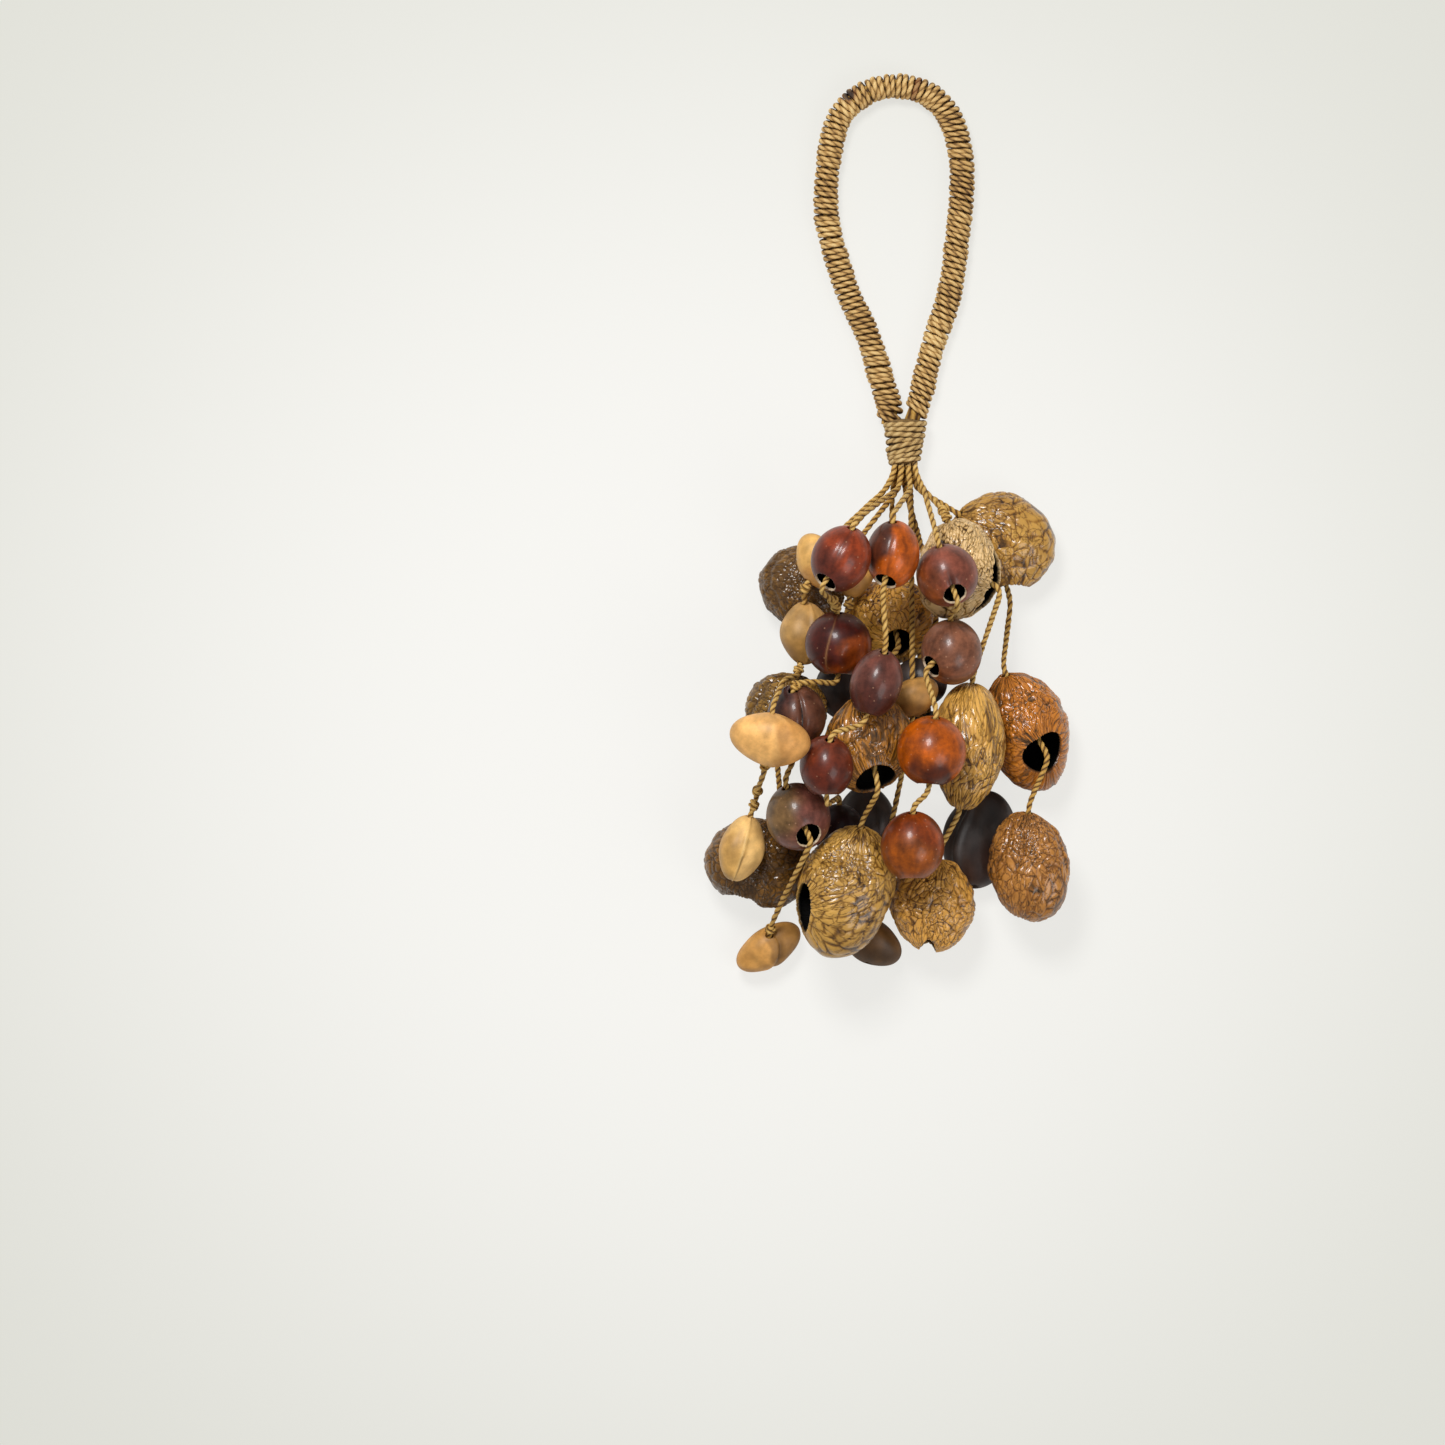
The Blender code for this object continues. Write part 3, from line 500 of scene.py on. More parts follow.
def winding():
    """The turns: a helix about the bundle whose pitch, height and tone wander a little from turn to turn."""
    line, side, lift = loop_frame()
    along = lengths_along(line)
    wound = along[-1] - sum(BARE_CORE)
    turns = round(wound / WRAP_PITCH)
    turn = np.linspace(0, turns, turns * WRAP_RINGS)
    round_it = tau * (turn + UNDERSIDE)
    lean = chance_line(turn, WRAP_SEED + 5, 9.0, 0.0007) * np.cos(round_it)
    at = BARE_CORE[0] + wound * turn / turns + chance_line(turn, WRAP_SEED, 0.8, 0.00022) + lean
    middle, level, up = sampled(np.clip(at, 0, along[-1]), along, line, side, lift)
    way = unit(np.gradient(line, axis=0))
    way = sampled(np.clip(at, 0, along[-1]), along, way)[0]
    out = np.cos(round_it)[:, None] * level + np.sin(round_it)[:, None] * up
    high = GRIP_THICK / 2 - WRAP_HIGH + chance_line(turn, WRAP_SEED + 1, 0.6, 0.00014)
    high = high + chance_line(turn, WRAP_SEED + 6, 5.0, 0.00012)
    thick = 1 + chance_line(turn, WRAP_SEED + 2, 1.3, 0.06)
    high = pressed(high, middle[:, 2] - WRAP_HIGH * thick, out)
    twine = middle + high[:, None] * out
    twist = tau * lengths_along(twine) / WRAP_TWIST * (1 + chance_line(turn, WRAP_SEED + 7, 20.0, 0.004))
    rings, groove, fibre = two_ply(twine, out, way, WRAP_HIGH * thick, WRAP_WIDE * thick, WRAP_SIDES, twist)
    tone = chance_line(turn, WRAP_SEED + 3, 1.0, 0.06) + chance_line(turn, WRAP_SEED + 4, 9.0, 0.05)
    stained = np.exp(-(((rings[..., :2] - STAIN_AT) ** 2).sum(-1) / STAIN_WIDE**2) ** 2)
    dyed = (middle[:, 1] > DYED_FROM_Y) * np.exp(-(((middle[:, 0] - DYED_TURN_X) / (0.55 * WRAP_PITCH)) ** 4))
    shade = np.broadcast_to(tone[:, None], groove.shape).ravel()
    stain = np.maximum(0.95 * stained, 0.55 * dyed[:, None]).ravel()
    piece = twisted("grip_winding", [(rings, between(groove, WRAP_SIDES), fibre)], shade, stain)
    belongs(piece, twine_finish("winding_twine", "#E8C88A", "#BE9456", "#4E3215"), "grip_wrap")


bundle()
winding()


# Throat binding
# The loop's two ends and the hanging cords' tops are bound together with eight tight turns of the same
# twine, over the cords that fill them.
BINDING_TURNS = 8.0
BINDING_WIDE = 0.00122
BINDING_HIGH = 0.00112
BINDING_FOOT = 0.0063
BINDING_PROUD = 0.0003
BINDING_SEED = 31
CORD_TOP = 0.0040


def binding():
    """Turns down a cone, whose radius falls evenly from the top's to the foot's, and the cords' tops in it."""
    low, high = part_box("throat_binding")
    top_radius = (high.x - low.x) / 2
    middle = np.array([(low.x + high.x) / 2, 0.0, (low.z + high.z) / 2])
    turn = np.linspace(0, BINDING_TURNS, int(BINDING_TURNS * 76))
    share = np.clip(turn / BINDING_TURNS + chance_line(turn, BINDING_SEED, 0.5, 0.008), 0, 1)
    y = high.y - BINDING_WIDE - (high.y - low.y - 1.6 * BINDING_WIDE) * share
    round_it = tau * (turn + UNDERSIDE)
    y = y + chance_line(turn, BINDING_SEED + 3, 2.5, 0.0006) * np.cos(round_it)
    radius = top_radius + (BINDING_FOOT - top_radius) * share - BINDING_HIGH + BINDING_PROUD
    radius = radius + chance_line(turn, BINDING_SEED + 1, 0.4, 0.00018)
    out = np.stack([np.cos(round_it), np.zeros_like(turn), np.sin(round_it)], axis=1)
    radius = pressed(radius, middle[2] - BINDING_HIGH, out)
    twine = middle + radius[:, None] * out + np.stack([0 * y, y, 0 * y], axis=1)
    down = np.broadcast_to([0.0, -1.0, 0.0], twine.shape)
    twist = tau * lengths_along(twine) / WRAP_TWIST
    rings, groove, fibre = two_ply(twine, out, down, BINDING_HIGH, BINDING_WIDE, WRAP_SIDES, twist)
    tone = chance_line(turn, BINDING_SEED + 2, 1.0, 0.05)[:, None] + np.zeros(groove.shape)
    parts, shade = [(rings, between(groove, WRAP_SIDES), fibre)], [tone.ravel()]
    for top in cord_tops:
        stub = top + np.linspace([0.0, CORD_TOP, 0.0], [0.0, -0.0002, 0.0], 10)
        side, lift = carried(stub)
        half = CORD_THICK / 2
        parts.append(two_ply(stub, side, lift, half, half, CORD_SIDES, tau * lengths_along(stub) / CORD_TWIST))
        shade.append(np.full(parts[-1][1].size, -0.08))
    core_share = np.linspace(0, 1, 24)
    core_radius = top_radius + (BINDING_FOOT - top_radius) * core_share - 1.5 * BINDING_HIGH
    core_radius = core_radius * np.clip(1 - np.abs(2 * core_share - 1) ** 12, 0.02, 1) ** 0.3
    angle = np.linspace(0, tau, 28, endpoint=False)
    core_y = np.outer(high.y - (high.y - low.y) * core_share, np.ones(28))
    core = np.stack([np.outer(core_radius, np.cos(angle)), core_y, np.outer(core_radius, np.sin(angle))], axis=-1)
    # Painted shade: the core under the turns is darkened with a groove of 0.6, as shade between the turns.
    parts.append((core + middle, np.full(core_y.shape, 0.6), core * 900))
    shade.append(np.zeros(core_y.size))
    piece = twisted("throat_turns", parts, np.concatenate(shade))
    twine = twine_finish("binding_twine", "#E0C790", "#B8945A", "#4C341A")
    belongs(piece, twine, "throat_binding")


binding()


# Wrinkled shells
# Hard, hollow, leathery-skinned half-open nutshells, with a small hole for the cord at one end and a
# torn or cut mouth at the other. Their skin is a net of dark veins over glossy golden-brown islands.
HOLE_RADIUS = CORD_THICK / 2 + 0.0006
SHELL_WALL = 0.0022
SHELL_ROWS, SHELL_AROUND = 140, 240
SHELL_INNER = 26
SHELL_THICK = 0.0015
RIM_SWELL = 0.02
RIM_ROWS = 5
SOLID_ROWS = 9
CREASES = 8
CREASE_DEPTH = 0.0009
CREASE_HALF = 7
CREASE_WANDER = 9
VEIN_DARK, VEIN_WIDE = 0.085, 0.22
VEIN_DEPTH = 0.00040
LUMP = 0.00026
TONE_DRIFT = 0.035
WRINKLED_SWELL = 0.05
NET_WARP = 0.07
TEAR_PACES = np.array([3, 5, 8, 13, 21])


def toward(turn, lift):
    """Unit vector that many degrees clockwise from the hand loop and up from the table."""
    turn, lift = radians(turn), radians(lift)
    return np.array([sin(turn) * cos(lift), cos(turn) * cos(lift), sin(lift)])


def reach(ways, form):
    """Distance from a nut's middle to its skin: an oval's, drawn out at its tips, tapered, ridged and swelled.

    Oval = 1 / |2 x own way / size|, times (1 + tip x along^6) (1 + taper x along), times
    1 + ridge cos(ridges x angle round) (1 - along^2), times 1 + 2 wave x the mean of four chance cosines.
    """
    turn = radians(form["turn"])
    axes = np.array([[cos(turn), 0, sin(turn)], [-sin(turn), 0, cos(turn)], [0, -1, 0]])
    width, length, depth = form["size"]
    size = np.array([width, depth, length / (1 + form.get("tip", 0.0))])
    chance = np.random.default_rng(form["order"])
    swells = unit(chance.normal(size=(4, 3)))
    paces, starts = chance.uniform(2.2, 4.2, 4), chance.uniform(0, tau, 4)
    own = ways @ axes
    along = own[..., 2]
    around = np.arctan2(own[..., 1], own[..., 0])
    outline = (1 + form.get("tip", 0.0) * along**6) * (1 + form.get("taper", 0.0) * along)
    outline = outline * (1 + form.get("ridge", 0.0) * np.cos(form.get("ridges", 0) * around) * (1 - along**2))
    swell = np.cos(own @ swells.T * paces + starts).mean(axis=-1)
    return outline * (1 + 2 * form["wave"] * swell) / np.linalg.norm(2 * own / size, axis=-1)


def ring_ways(form, share, turn, wall):
    """Unit vectors at shares of the way from a nut's hole to its mouth, and turns about an axis between them.

    The axis swings smoothly from the hole's to the mouth's. The mouth may be oval and ragged: its half
    angle is multiplied by an ellipse's radius, whose halves are 1 + oval and 1 - oval, + ragged x the mean
    of chance cosines.
    """
    hole, mouth = toward(*form["hole"]), toward(*form["mouth"])
    hole_angle = np.arctan(HOLE_RADIUS / (reach(hole, form) - wall))
    mouth_angle = np.arctan(form.get("mouth_radius", HOLE_RADIUS) / (reach(mouth, form) - wall))
    swing = share**2 * (3 - 2 * share)
    axis = unit(hole * (1 - swing) - mouth * swing)
    aside = np.cross(hole, -mouth)
    if np.linalg.norm(aside) < 0.01:
        aside = np.cross(hole, [0, 0, 1])
    aside = unit(aside)
    ahead = np.cross(aside, axis)
    torn = np.cos(turn[..., None] * TEAR_PACES + form["order"] + TEAR_PACES**2).mean(axis=-1)
    long, short = 1 + form.get("oval", 0.0), 1 - form.get("oval", 0.0)
    edge = long * short / np.hypot(short * np.cos(turn), long * np.sin(turn))
    edge = mouth_angle * (edge + form.get("ragged", 0.0) * torn)
    angle = (hole_angle + share * (pi - edge - hole_angle))[..., None]
    flat = np.cos(turn)[..., None] * ahead[:, None] + np.sin(turn)[..., None] * aside
    return np.cos(angle) * axis[:, None] + np.sin(angle) * flat


def grid(rows, around):
    """Shares from hole to mouth, one a row, and turns, one a column."""
    return np.linspace(0, 1, rows)[:, None], np.linspace(0, tau, around, endpoint=False)[None, :]


def crease_lines(number, share):
    """Turn of each of a shell's main creases at shares of the way from hole to mouth, and its depth there."""
    starts, depths = np.random.default_rng(number).uniform(0, 1, (2, CREASES))
    middle = np.linspace(0, tau, CREASES, endpoint=False)
    bottom = middle + radians(CREASE_WANDER) * np.sin(tau * (share + starts))
    return bottom, CREASE_DEPTH * (1 + depths) / 2 * np.sin(pi * share)


def creases(number, share, turn):
    """Depth of the main creases: each is a V, depth x (1 - |turn off its line| / half its width)."""
    bottom, deep = crease_lines(number, share)
    off = np.abs((turn[..., None] - bottom[:, None] + pi) % tau - pi) / radians(CREASE_HALF)
    return (deep[:, None] * np.clip(1 - off, 0, 1)).sum(axis=-1)


def waves(ways, seed, pace, count=7):
    """Smooth chance value, mostly from -1 to 1, over unit vectors: a sum of cosines along random directions."""
    chance = np.random.default_rng(seed)
    turns = unit(chance.normal(size=(count, 3))) * chance.uniform(0.6, 1.5, (count, 1)) * pace
    return np.cos(ways @ turns.T + chance.uniform(0, tau, count)).sum(axis=-1) / np.sqrt(count)


def net(ways, seed, cell, draw, warp):
    """Distance from the lines of a net of cells, in cells, and the ground that the net is laid on.

    The cells are those of random sites over (cos turn, sin turn, share x pi / draw), so they are drawn
    out from hole to mouth, and the ground under them is warped by smooth waves.
    """
    rows, around = ways.shape[:2]
    share, turn = np.meshgrid(np.linspace(0, 1, rows), np.linspace(0, tau, around, endpoint=False), indexing="ij")
    ground = np.stack([np.cos(turn), np.sin(turn), share * pi / draw], axis=-1)
    ground = ground + warp * np.stack([waves(ways, seed + k, 5.0) for k in range(3)], axis=-1)
    ground = ground + 0.12 * warp * np.stack([waves(ways, seed + k, 17.0) for k in range(3, 6)], axis=-1)
    chance = np.random.default_rng(seed)
    count = int(tau * (pi / draw + 0.3) / cell**2)
    angle, level = chance.uniform(0, tau, count), chance.uniform(-0.15, pi / draw + 0.15, count)
    sites = np.stack([np.cos(angle), np.sin(angle), level], axis=-1).astype(np.float32)
    gap = []
    for some in np.array_split(ground.reshape(-1, 3).astype(np.float32), 16):
        square = (some**2).sum(-1)[:, None] + (sites**2).sum(-1) - 2 * some @ sites.T
        near = np.sqrt(np.maximum(np.partition(square, 1, axis=1)[:, :2], 0))
        gap.append(near[:, 1] - near[:, 0])
    return np.concatenate(gap).reshape(rows, around) / cell, ground


def folds(ways, form):
    """Height of a nut's own creases and ridges, and how deep in a crease each point lies.

    Each runs from hole to mouth through the point in a given way: height x exp(-(angle off it / width)^2)
    x (1 - (place along / half its length)^4), with its line bent by bend x place along.
    """
    axis = unit(toward(*form["hole"]) - toward(*form["mouth"]))
    height, crease = np.zeros(ways.shape[:2]), np.zeros(ways.shape[:2])
    for through, size, width, bend, middle, half in form.get("folds", ()):
        through = toward(*through)
        ahead = unit(through - axis * through.dot(axis))
        aside = np.cross(axis, ahead)
        along = ways @ axis
        off = np.arctan2(ways @ aside, ways @ ahead) - bend * along
        line = np.exp(-((off / width) ** 2)) * np.clip(1 - ((along - middle) / half) ** 4, 0, 1)
        height += size * line
        crease = np.maximum(crease, line * (size < 0))
    return height, crease


def middle_of(node, form, wall, share, turn, sunk=0.0):
    """Where a nut's middle lies: the frame solid's box has the same middle as the same form made as coarsely."""
    ways = ring_ways({**form, "oval": 0.0, "ragged": 0.0}, share, turn, wall)
    coarse = (ways * (reach(ways, form) - sunk)[..., None]).reshape(-1, 3)
    low, high = (np.array(corner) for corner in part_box(node))
    return (low + high) / 2 - (coarse.min(axis=0) + coarse.max(axis=0)) / 2


def hollow(name, middle, form, wall, thick, share, turn, inner_rows, relief):
    """A nutshell: its skin from hole to mouth, a rounded rim, and its inside back to the hole.

    Returns the piece, the ways of all its points, and how far inside each is: 0 on the skin, 1 within.
    """
    ways = ring_ways(form, share, turn, wall)
    skin = reach(ways, form) + relief
    rim_turn = np.linspace(0, pi, RIM_ROWS + 2)[1:-1, None]
    rim_reach = skin[-1:] - thick * (1 - np.cos(rim_turn)) / 2
    lean = unit(ways[-1:] + RIM_SWELL * np.sin(rim_turn)[..., None] * toward(*form["mouth"]))
    inner = ring_ways(form, np.linspace(1, 0, inner_rows)[:, None], turn, wall)
    within = reach(inner, form) - thick
    all_ways = np.concatenate([ways, lean, inner])
    far = np.concatenate([skin, rim_reach, within])
    depth = np.concatenate([np.zeros(len(ways)), np.linspace(0.2, 0.8, RIM_ROWS), np.ones(inner_rows)])
    piece = surface(name, (all_ways * far[..., None] + middle, True))
    return piece, all_ways, np.broadcast_to(depth[:, None], far.shape)


def padded_rows(values, total):
    """Values for a skin's rows, carried on over the rim and the inside."""
    return np.concatenate([values, np.broadcast_to(values[-1:], (total - len(values), *values.shape[1:]))])


def skin_effect():
    """Veined skin: golden islands, dark veins and painted crease shade where painted, fine drawn-out wrinkles,
    a soft polish, and an inside painted near-black as shade in the hollow.

    A fine wrinkle lies where a cloud on the painted ground is near its middle value. Tone = 0.22 + 0.40
    patches + 0.17 off the wrinkles - 0.52 veins and crease shade + shade, which runs from near black over dark to
    light.
    """
    takes = {"Ground": "Vector", "Place": "Vector", "Crack": "Float", "Shade": "Float", "Inside": "Float"}
    takes.update(Light="Color", Dark="Color")
    gives = {"Colour": "Color", "Roughness": "Float", "Polish": "Float", "Height": "Float"}
    tree, given, gives = new_effect("veined_skin", takes, gives)
    cloud = noise(tree, given["Ground"], 5.5, 3.0, Roughness=0.55, Distortion=0.7)
    off = arithmetic(tree, "ABSOLUTE", arithmetic(tree, "SUBTRACT", cloud, 0.5))
    lines = ranged(tree, off, from_max=0.035)
    patches = noise(tree, given["Place"], 120.0, 6.0, Roughness=0.65)
    tone = arithmetic(tree, "MULTIPLY_ADD", patches, 0.40, 0.22)
    tone = arithmetic(tree, "MULTIPLY_ADD", lines, 0.17, tone)
    tone = arithmetic(tree, "MULTIPLY_ADD", given["Crack"], -0.52, tone)
    tone = arithmetic(tree, "ADD", tone, given["Shade"])
    skin = ramp(tree, tone, (0.0, "#36200A"), (0.20, "#5E3E16"))
    skin = mix(tree, ranged(tree, tone, from_min=0.20, from_max=0.42), skin, given["Dark"])
    skin = mix(tree, ranged(tree, tone, from_min=0.42, from_max=0.66), skin, given["Light"])
    # Painted shade: the shell's inside is painted near-black.
    tree.links.new(mix(tree, given["Inside"], skin, colour("#0B0805")), gives["Colour"])
    tree.links.new(ranged(tree, given["Inside"], to_min=0.40, to_max=0.9), gives["Roughness"])
    tree.links.new(ranged(tree, given["Inside"], to_min=0.7, to_max=0.0), gives["Polish"])
    tree.links.new(arithmetic(tree, "MULTIPLY_ADD", patches, 0.8, lines), gives["Height"])
    return tree


veined_skin = skin_effect()


def wrinkled_finish(name, light, dark):
    """A wrinkled shell's skin in two tones of its own."""
    material, tree, shader = new_finish(name)
    marks = {key: painted(tree, key) for key in ("crack", "shade", "inside")}
    tones = {"light": colour(light), "dark": colour(dark)}
    ground = painted(tree, "ground", "Vector")
    given = effect(tree, veined_skin, ground=ground, place=object_place(tree), **marks, **tones)
    for output, socket in (("Colour", "Base Color"), ("Roughness", "Roughness"), ("Polish", "Coat Weight")):
        tree.links.new(given[output], shader.inputs[socket])
    shader.inputs["Coat Roughness"].default_value = 0.16
    shader.inputs["Specular IOR Level"].default_value = 0.25
    bumped(tree, shader, given["Height"], 0.00030, 0.9)
    return material


WRINKLED = {
    1: dict(order=0, size=(0.043, 0.043, 0.024), turn=0, hole=(-55, 10), mouth=(170, -5), mouth_radius=0.008,
            draw=1.3, cell=0.19, light="#CA9A4A", dark="#946626"),
    2: dict(order=1, size=(0.034, 0.034, 0.022), turn=0, hole=(40, 5), mouth=(185, 5), mouth_radius=0.007,
            draw=1.0, cell=0.16, light="#9E702C", dark="#5C3E16", shade=-0.10),
    3: dict(order=2, size=(0.043, 0.036, 0.025), turn=10, hole=(30, 10), mouth=(200, 0), mouth_radius=0.008,
            draw=1.2, cell=0.17, light="#8E6020", dark="#543812", shade=-0.05),
    4: dict(order=3, size=(0.031, 0.050, 0.026), turn=-20, taper=-0.24, hole=(-24, 8), mouth=(150, 34),
            mouth_radius=0.0076, draw=3.0, cell=0.13, light="#CC7E2A", dark="#985610", oval=-0.25),
    5: dict(order=12, size=(0.034, 0.032, 0.020), turn=0, hole=(20, 5), mouth=(190, 0), mouth_radius=0.0068,
            draw=1.2, cell=0.17, light="#B08232", dark="#6B4C1C", shade=-0.05),
    6: dict(order=13, size=(0.034, 0.038, 0.025), turn=4, taper=-0.05, hole=(6, 10), mouth=(186, 2),
            mouth_radius=0.0058, draw=1.4, cell=0.17, light="#E2A64C", dark="#AA742A", shade=0.06, oval=0.45),
    # Shell 7's pale tones are partly its own pale colour and partly a painted highlight over it.
    7: dict(order=16, size=(0.033, 0.041, 0.024), turn=8, hole=(-12, 0), mouth=(112, 14), mouth_radius=0.0090,
            draw=1.2, cell=0.18, light="#F0CC94", dark="#C49A58", oval=0.55, ragged=0.12),
    8: dict(order=4, size=(0.036, 0.034, 0.024), turn=0, hole=(0, 0), mouth=(162, 46), mouth_radius=0.0054,
            draw=2.6, cell=0.15, light="#F2B44E", dark="#BC822C", shade=0.06),
    9: dict(order=17, size=(0.031, 0.043, 0.024), turn=-6, taper=-0.20, hole=(2, 5), mouth=(185, -10),
            mouth_radius=0.0065, draw=1.3, cell=0.17, light="#C0823A", dark="#86521C"),
    10: dict(order=19, size=(0.028, 0.050, 0.024), turn=4, taper=0.20, hole=(4, -2), mouth=(188, -10),
             mouth_radius=0.0050, draw=2.0, cell=0.16, light="#E2AC52", dark="#A6762C"),
    11: dict(order=22, size=(0.035, 0.042, 0.025), turn=10, taper=-0.06, hole=(-10, 0), mouth=(168, 22),
             mouth_radius=0.0085, draw=5.0, cell=0.105, light="#BC7C2C", dark="#724610"),
    12: dict(order=23, size=(0.036, 0.055, 0.026), turn=14, taper=-0.22, hole=(14, 5), mouth=(238, 14),
             mouth_radius=0.0070, draw=1.5, cell=0.17, light="#CE9E4C", dark="#906626", oval=0.2),
}

for number, form in WRINKLED.items():
    form["wave"] = WRINKLED_SWELL
    solid = f"wrinkled_shell_{number:02d}"
    solid_share = np.linspace(0, 1, SOLID_ROWS)[:, None]
    bottom, deep = crease_lines(number, solid_share)
    solid_turn = (bottom[..., None] + radians(CREASE_HALF) * np.array([-1, 0, 1])).reshape(SOLID_ROWS, -1)
    solid_sunk = (deep[..., None] * np.array([0, 1, 0])).reshape(SOLID_ROWS, -1)
    middle = middle_of(solid, form, SHELL_WALL, solid_share, solid_turn, solid_sunk)
    share, turn = grid(SHELL_ROWS, SHELL_AROUND)
    ways = ring_ways(form, share, turn, SHELL_WALL)
    cells, ground = net(ways, 40 * number, form["cell"], form["draw"], NET_WARP)
    sunk = creases(number, share, turn)
    height, dark_line = folds(ways, form)
    crack = np.exp(-((cells / VEIN_DARK) ** 2)) * (0.75 + 0.25 * waves(ways, 5 * number, 8.0))
    # Painted shade: the main creases and the nut's own creases are darkened, on top of the real dark veins.
    crack = np.maximum(crack, np.maximum(0.7 * (sunk / CREASE_DEPTH) ** 4, dark_line))
    relief = height - sunk - VEIN_DEPTH * np.exp(-((cells / VEIN_WIDE) ** 2)) + LUMP * waves(ways, 7 * number, 14.0)
    piece, all_ways, inside = hollow(
        f"shell_{number:02d}", middle, form, SHELL_WALL, SHELL_THICK, share, turn, SHELL_INNER, relief
    )
    rows = len(all_ways)
    paint(piece, crack=padded_rows(np.clip(crack, 0, 1), rows), inside=np.clip(1.4 * inside, 0, 1))
    tone = TONE_DRIFT * waves(all_ways, 11 * number, 4.0) + form.get("shade", 0.0)
    paint(piece, shade=tone, ground=padded_rows(ground, rows))
    finish = wrinkled_finish(f"wrinkled_{number:02d}", form["light"], form["dark"])
    belongs(piece, finish, solid)


# Red shells
# Smaller polished shells, drilled at the top for the cord and cut open below, where the pale edge of
# the wall shows round a mouth painted black as shade. Each has its own mix of red-brown, mauve and orange.
RED_WALL = 0.0015
RED_ROWS, RED_AROUND, RED_INNER = 84, 128, 16
RED_SOLID = (8, 10)
RED_THICK = 0.0010


def mottling_effect():
    """Seed coat: a cloud that darkens the painted colour, and small specks strewn over it."""
    takes = {"Place": "Vector", "Tint": "Color", "Shadow": "Color", "Speck": "Color"}
    takes.update(dict.fromkeys(("Pace", "Grain", "Low", "High", "Depth", "Strewn", "Dot"), "Float"))
    tree, given, gives = new_effect("seed_mottling", takes, {"Colour": "Color", "Cloud": "Float"})
    cloud = noise(tree, given["Place"], given["Pace"], 6.0, Roughness=given["Grain"])
    spread = ranged(tree, cloud, from_min=given["Low"], from_max=given["High"])
    shadow = mix(tree, spread, given["Shadow"], colour("#FFFFFF"))
    shaded = mix(tree, given["Depth"], given["Tint"], shadow, "MULTIPLY")
    grains = add(tree, "ShaderNodeTexVoronoi", {"Vector": given["Place"], "Scale": given["Strewn"]})
    dots = ranged(tree, grains.outputs["Distance"], from_min=given["Dot"], from_max=0.06)
    marked = mix(tree, arithmetic(tree, "MULTIPLY", dots, 0.4), shaded, given["Speck"])
    tree.links.new(marked, gives["Colour"])
    tree.links.new(cloud, gives["Cloud"])
    return tree


seed_mottling = mottling_effect()


def polished_finish(name, rim):
    """Polished seed skin in its painted colours: faint mottling, pale specks, a pale cut rim and an inside painted
    black as shade in the hollow.
    """
    material, tree, shader = new_finish(name)
    given = effect(
        tree, seed_mottling, place=object_place(tree), tint=painted(tree, "tint", "Color"),
        shadow=colour("#6E6460"), speck=colour("#C99A78"),
        pace=190.0, grain=0.7, low=0.35, high=0.65, depth=0.7, strewn=330.0, dot=0.14,
    )
    edged = mix(tree, painted(tree, "rim"), given["Colour"], colour(rim))
    # Painted shade: the inside is painted near-black.
    inner = mix(tree, painted(tree, "inside"), edged, colour("#070505"))
    tree.links.new(inner, shader.inputs["Base Color"])
    tree.links.new(ranged(tree, given["Cloud"], to_min=0.32, to_max=0.5), shader.inputs["Roughness"])
    shader.inputs["Specular IOR Level"].default_value = 0.30
    shader.inputs["Coat Weight"].default_value = 0.25
    shader.inputs["Coat Roughness"].default_value = 0.13
    bumped(tree, shader, given["Cloud"], 0.00008, 0.5)
    return material


def streaks(ways, seed):
    """Fine streaks from hole to mouth: the mean of cosines of whole multiples of the turn, shifted by place."""
    chance = np.random.default_rng(seed)
    turn = np.linspace(0, tau, ways.shape[1], endpoint=False)
    place = ways @ unit(chance.normal(size=3))
    waves_round = [np.cos(k * turn + chance.uniform(0, tau) + 2.4 * place) for k in (3, 7, 11, 18, 27)]
    return np.mean(waves_round, axis=0) * np.sqrt(5)


def tints(ways, form):
    """Colour over a nut: its own colour, its second one past a soft bound in a given way, and painted shade in its
    creases.

    Streaks and clouds darken and lighten it, and a seam is a thin pale line of its own colour.
    """
    first, second, way, bound, soft = form["tint"]
    first, second = (np.array(colour(code)) for code in (first, second))
    ahead = ways @ toward(*way) + 0.16 * waves(ways, form["order"] + 60, 6.0)
    share = np.clip((ahead - bound) / soft + 0.5, 0, 1)[..., None]
    share = share**2 * (3 - 2 * share)
    tint = first * (1 - share) + second * share
    _, crease = folds(ways, form)
    cloud = 1 + 0.14 * waves(ways, form["order"] + 80, 9.0)
    cloud = cloud + form.get("streak", 0.02) * streaks(ways, form["order"] + 90)
    # Painted shade: creases are darkened by up to 0.45.
    tint[..., :3] *= ((1 - 0.45 * crease) * np.clip(cloud, 0.4, 1.8))[..., None]
    if "seam" in form:
        line, code = form["seam"]
        pale = folds(ways, {**form, "folds": (line,)})[1][..., None]
        tint = tint * (1 - 0.7 * pale) + np.array(colour(code)) * 0.7 * pale
    return tint


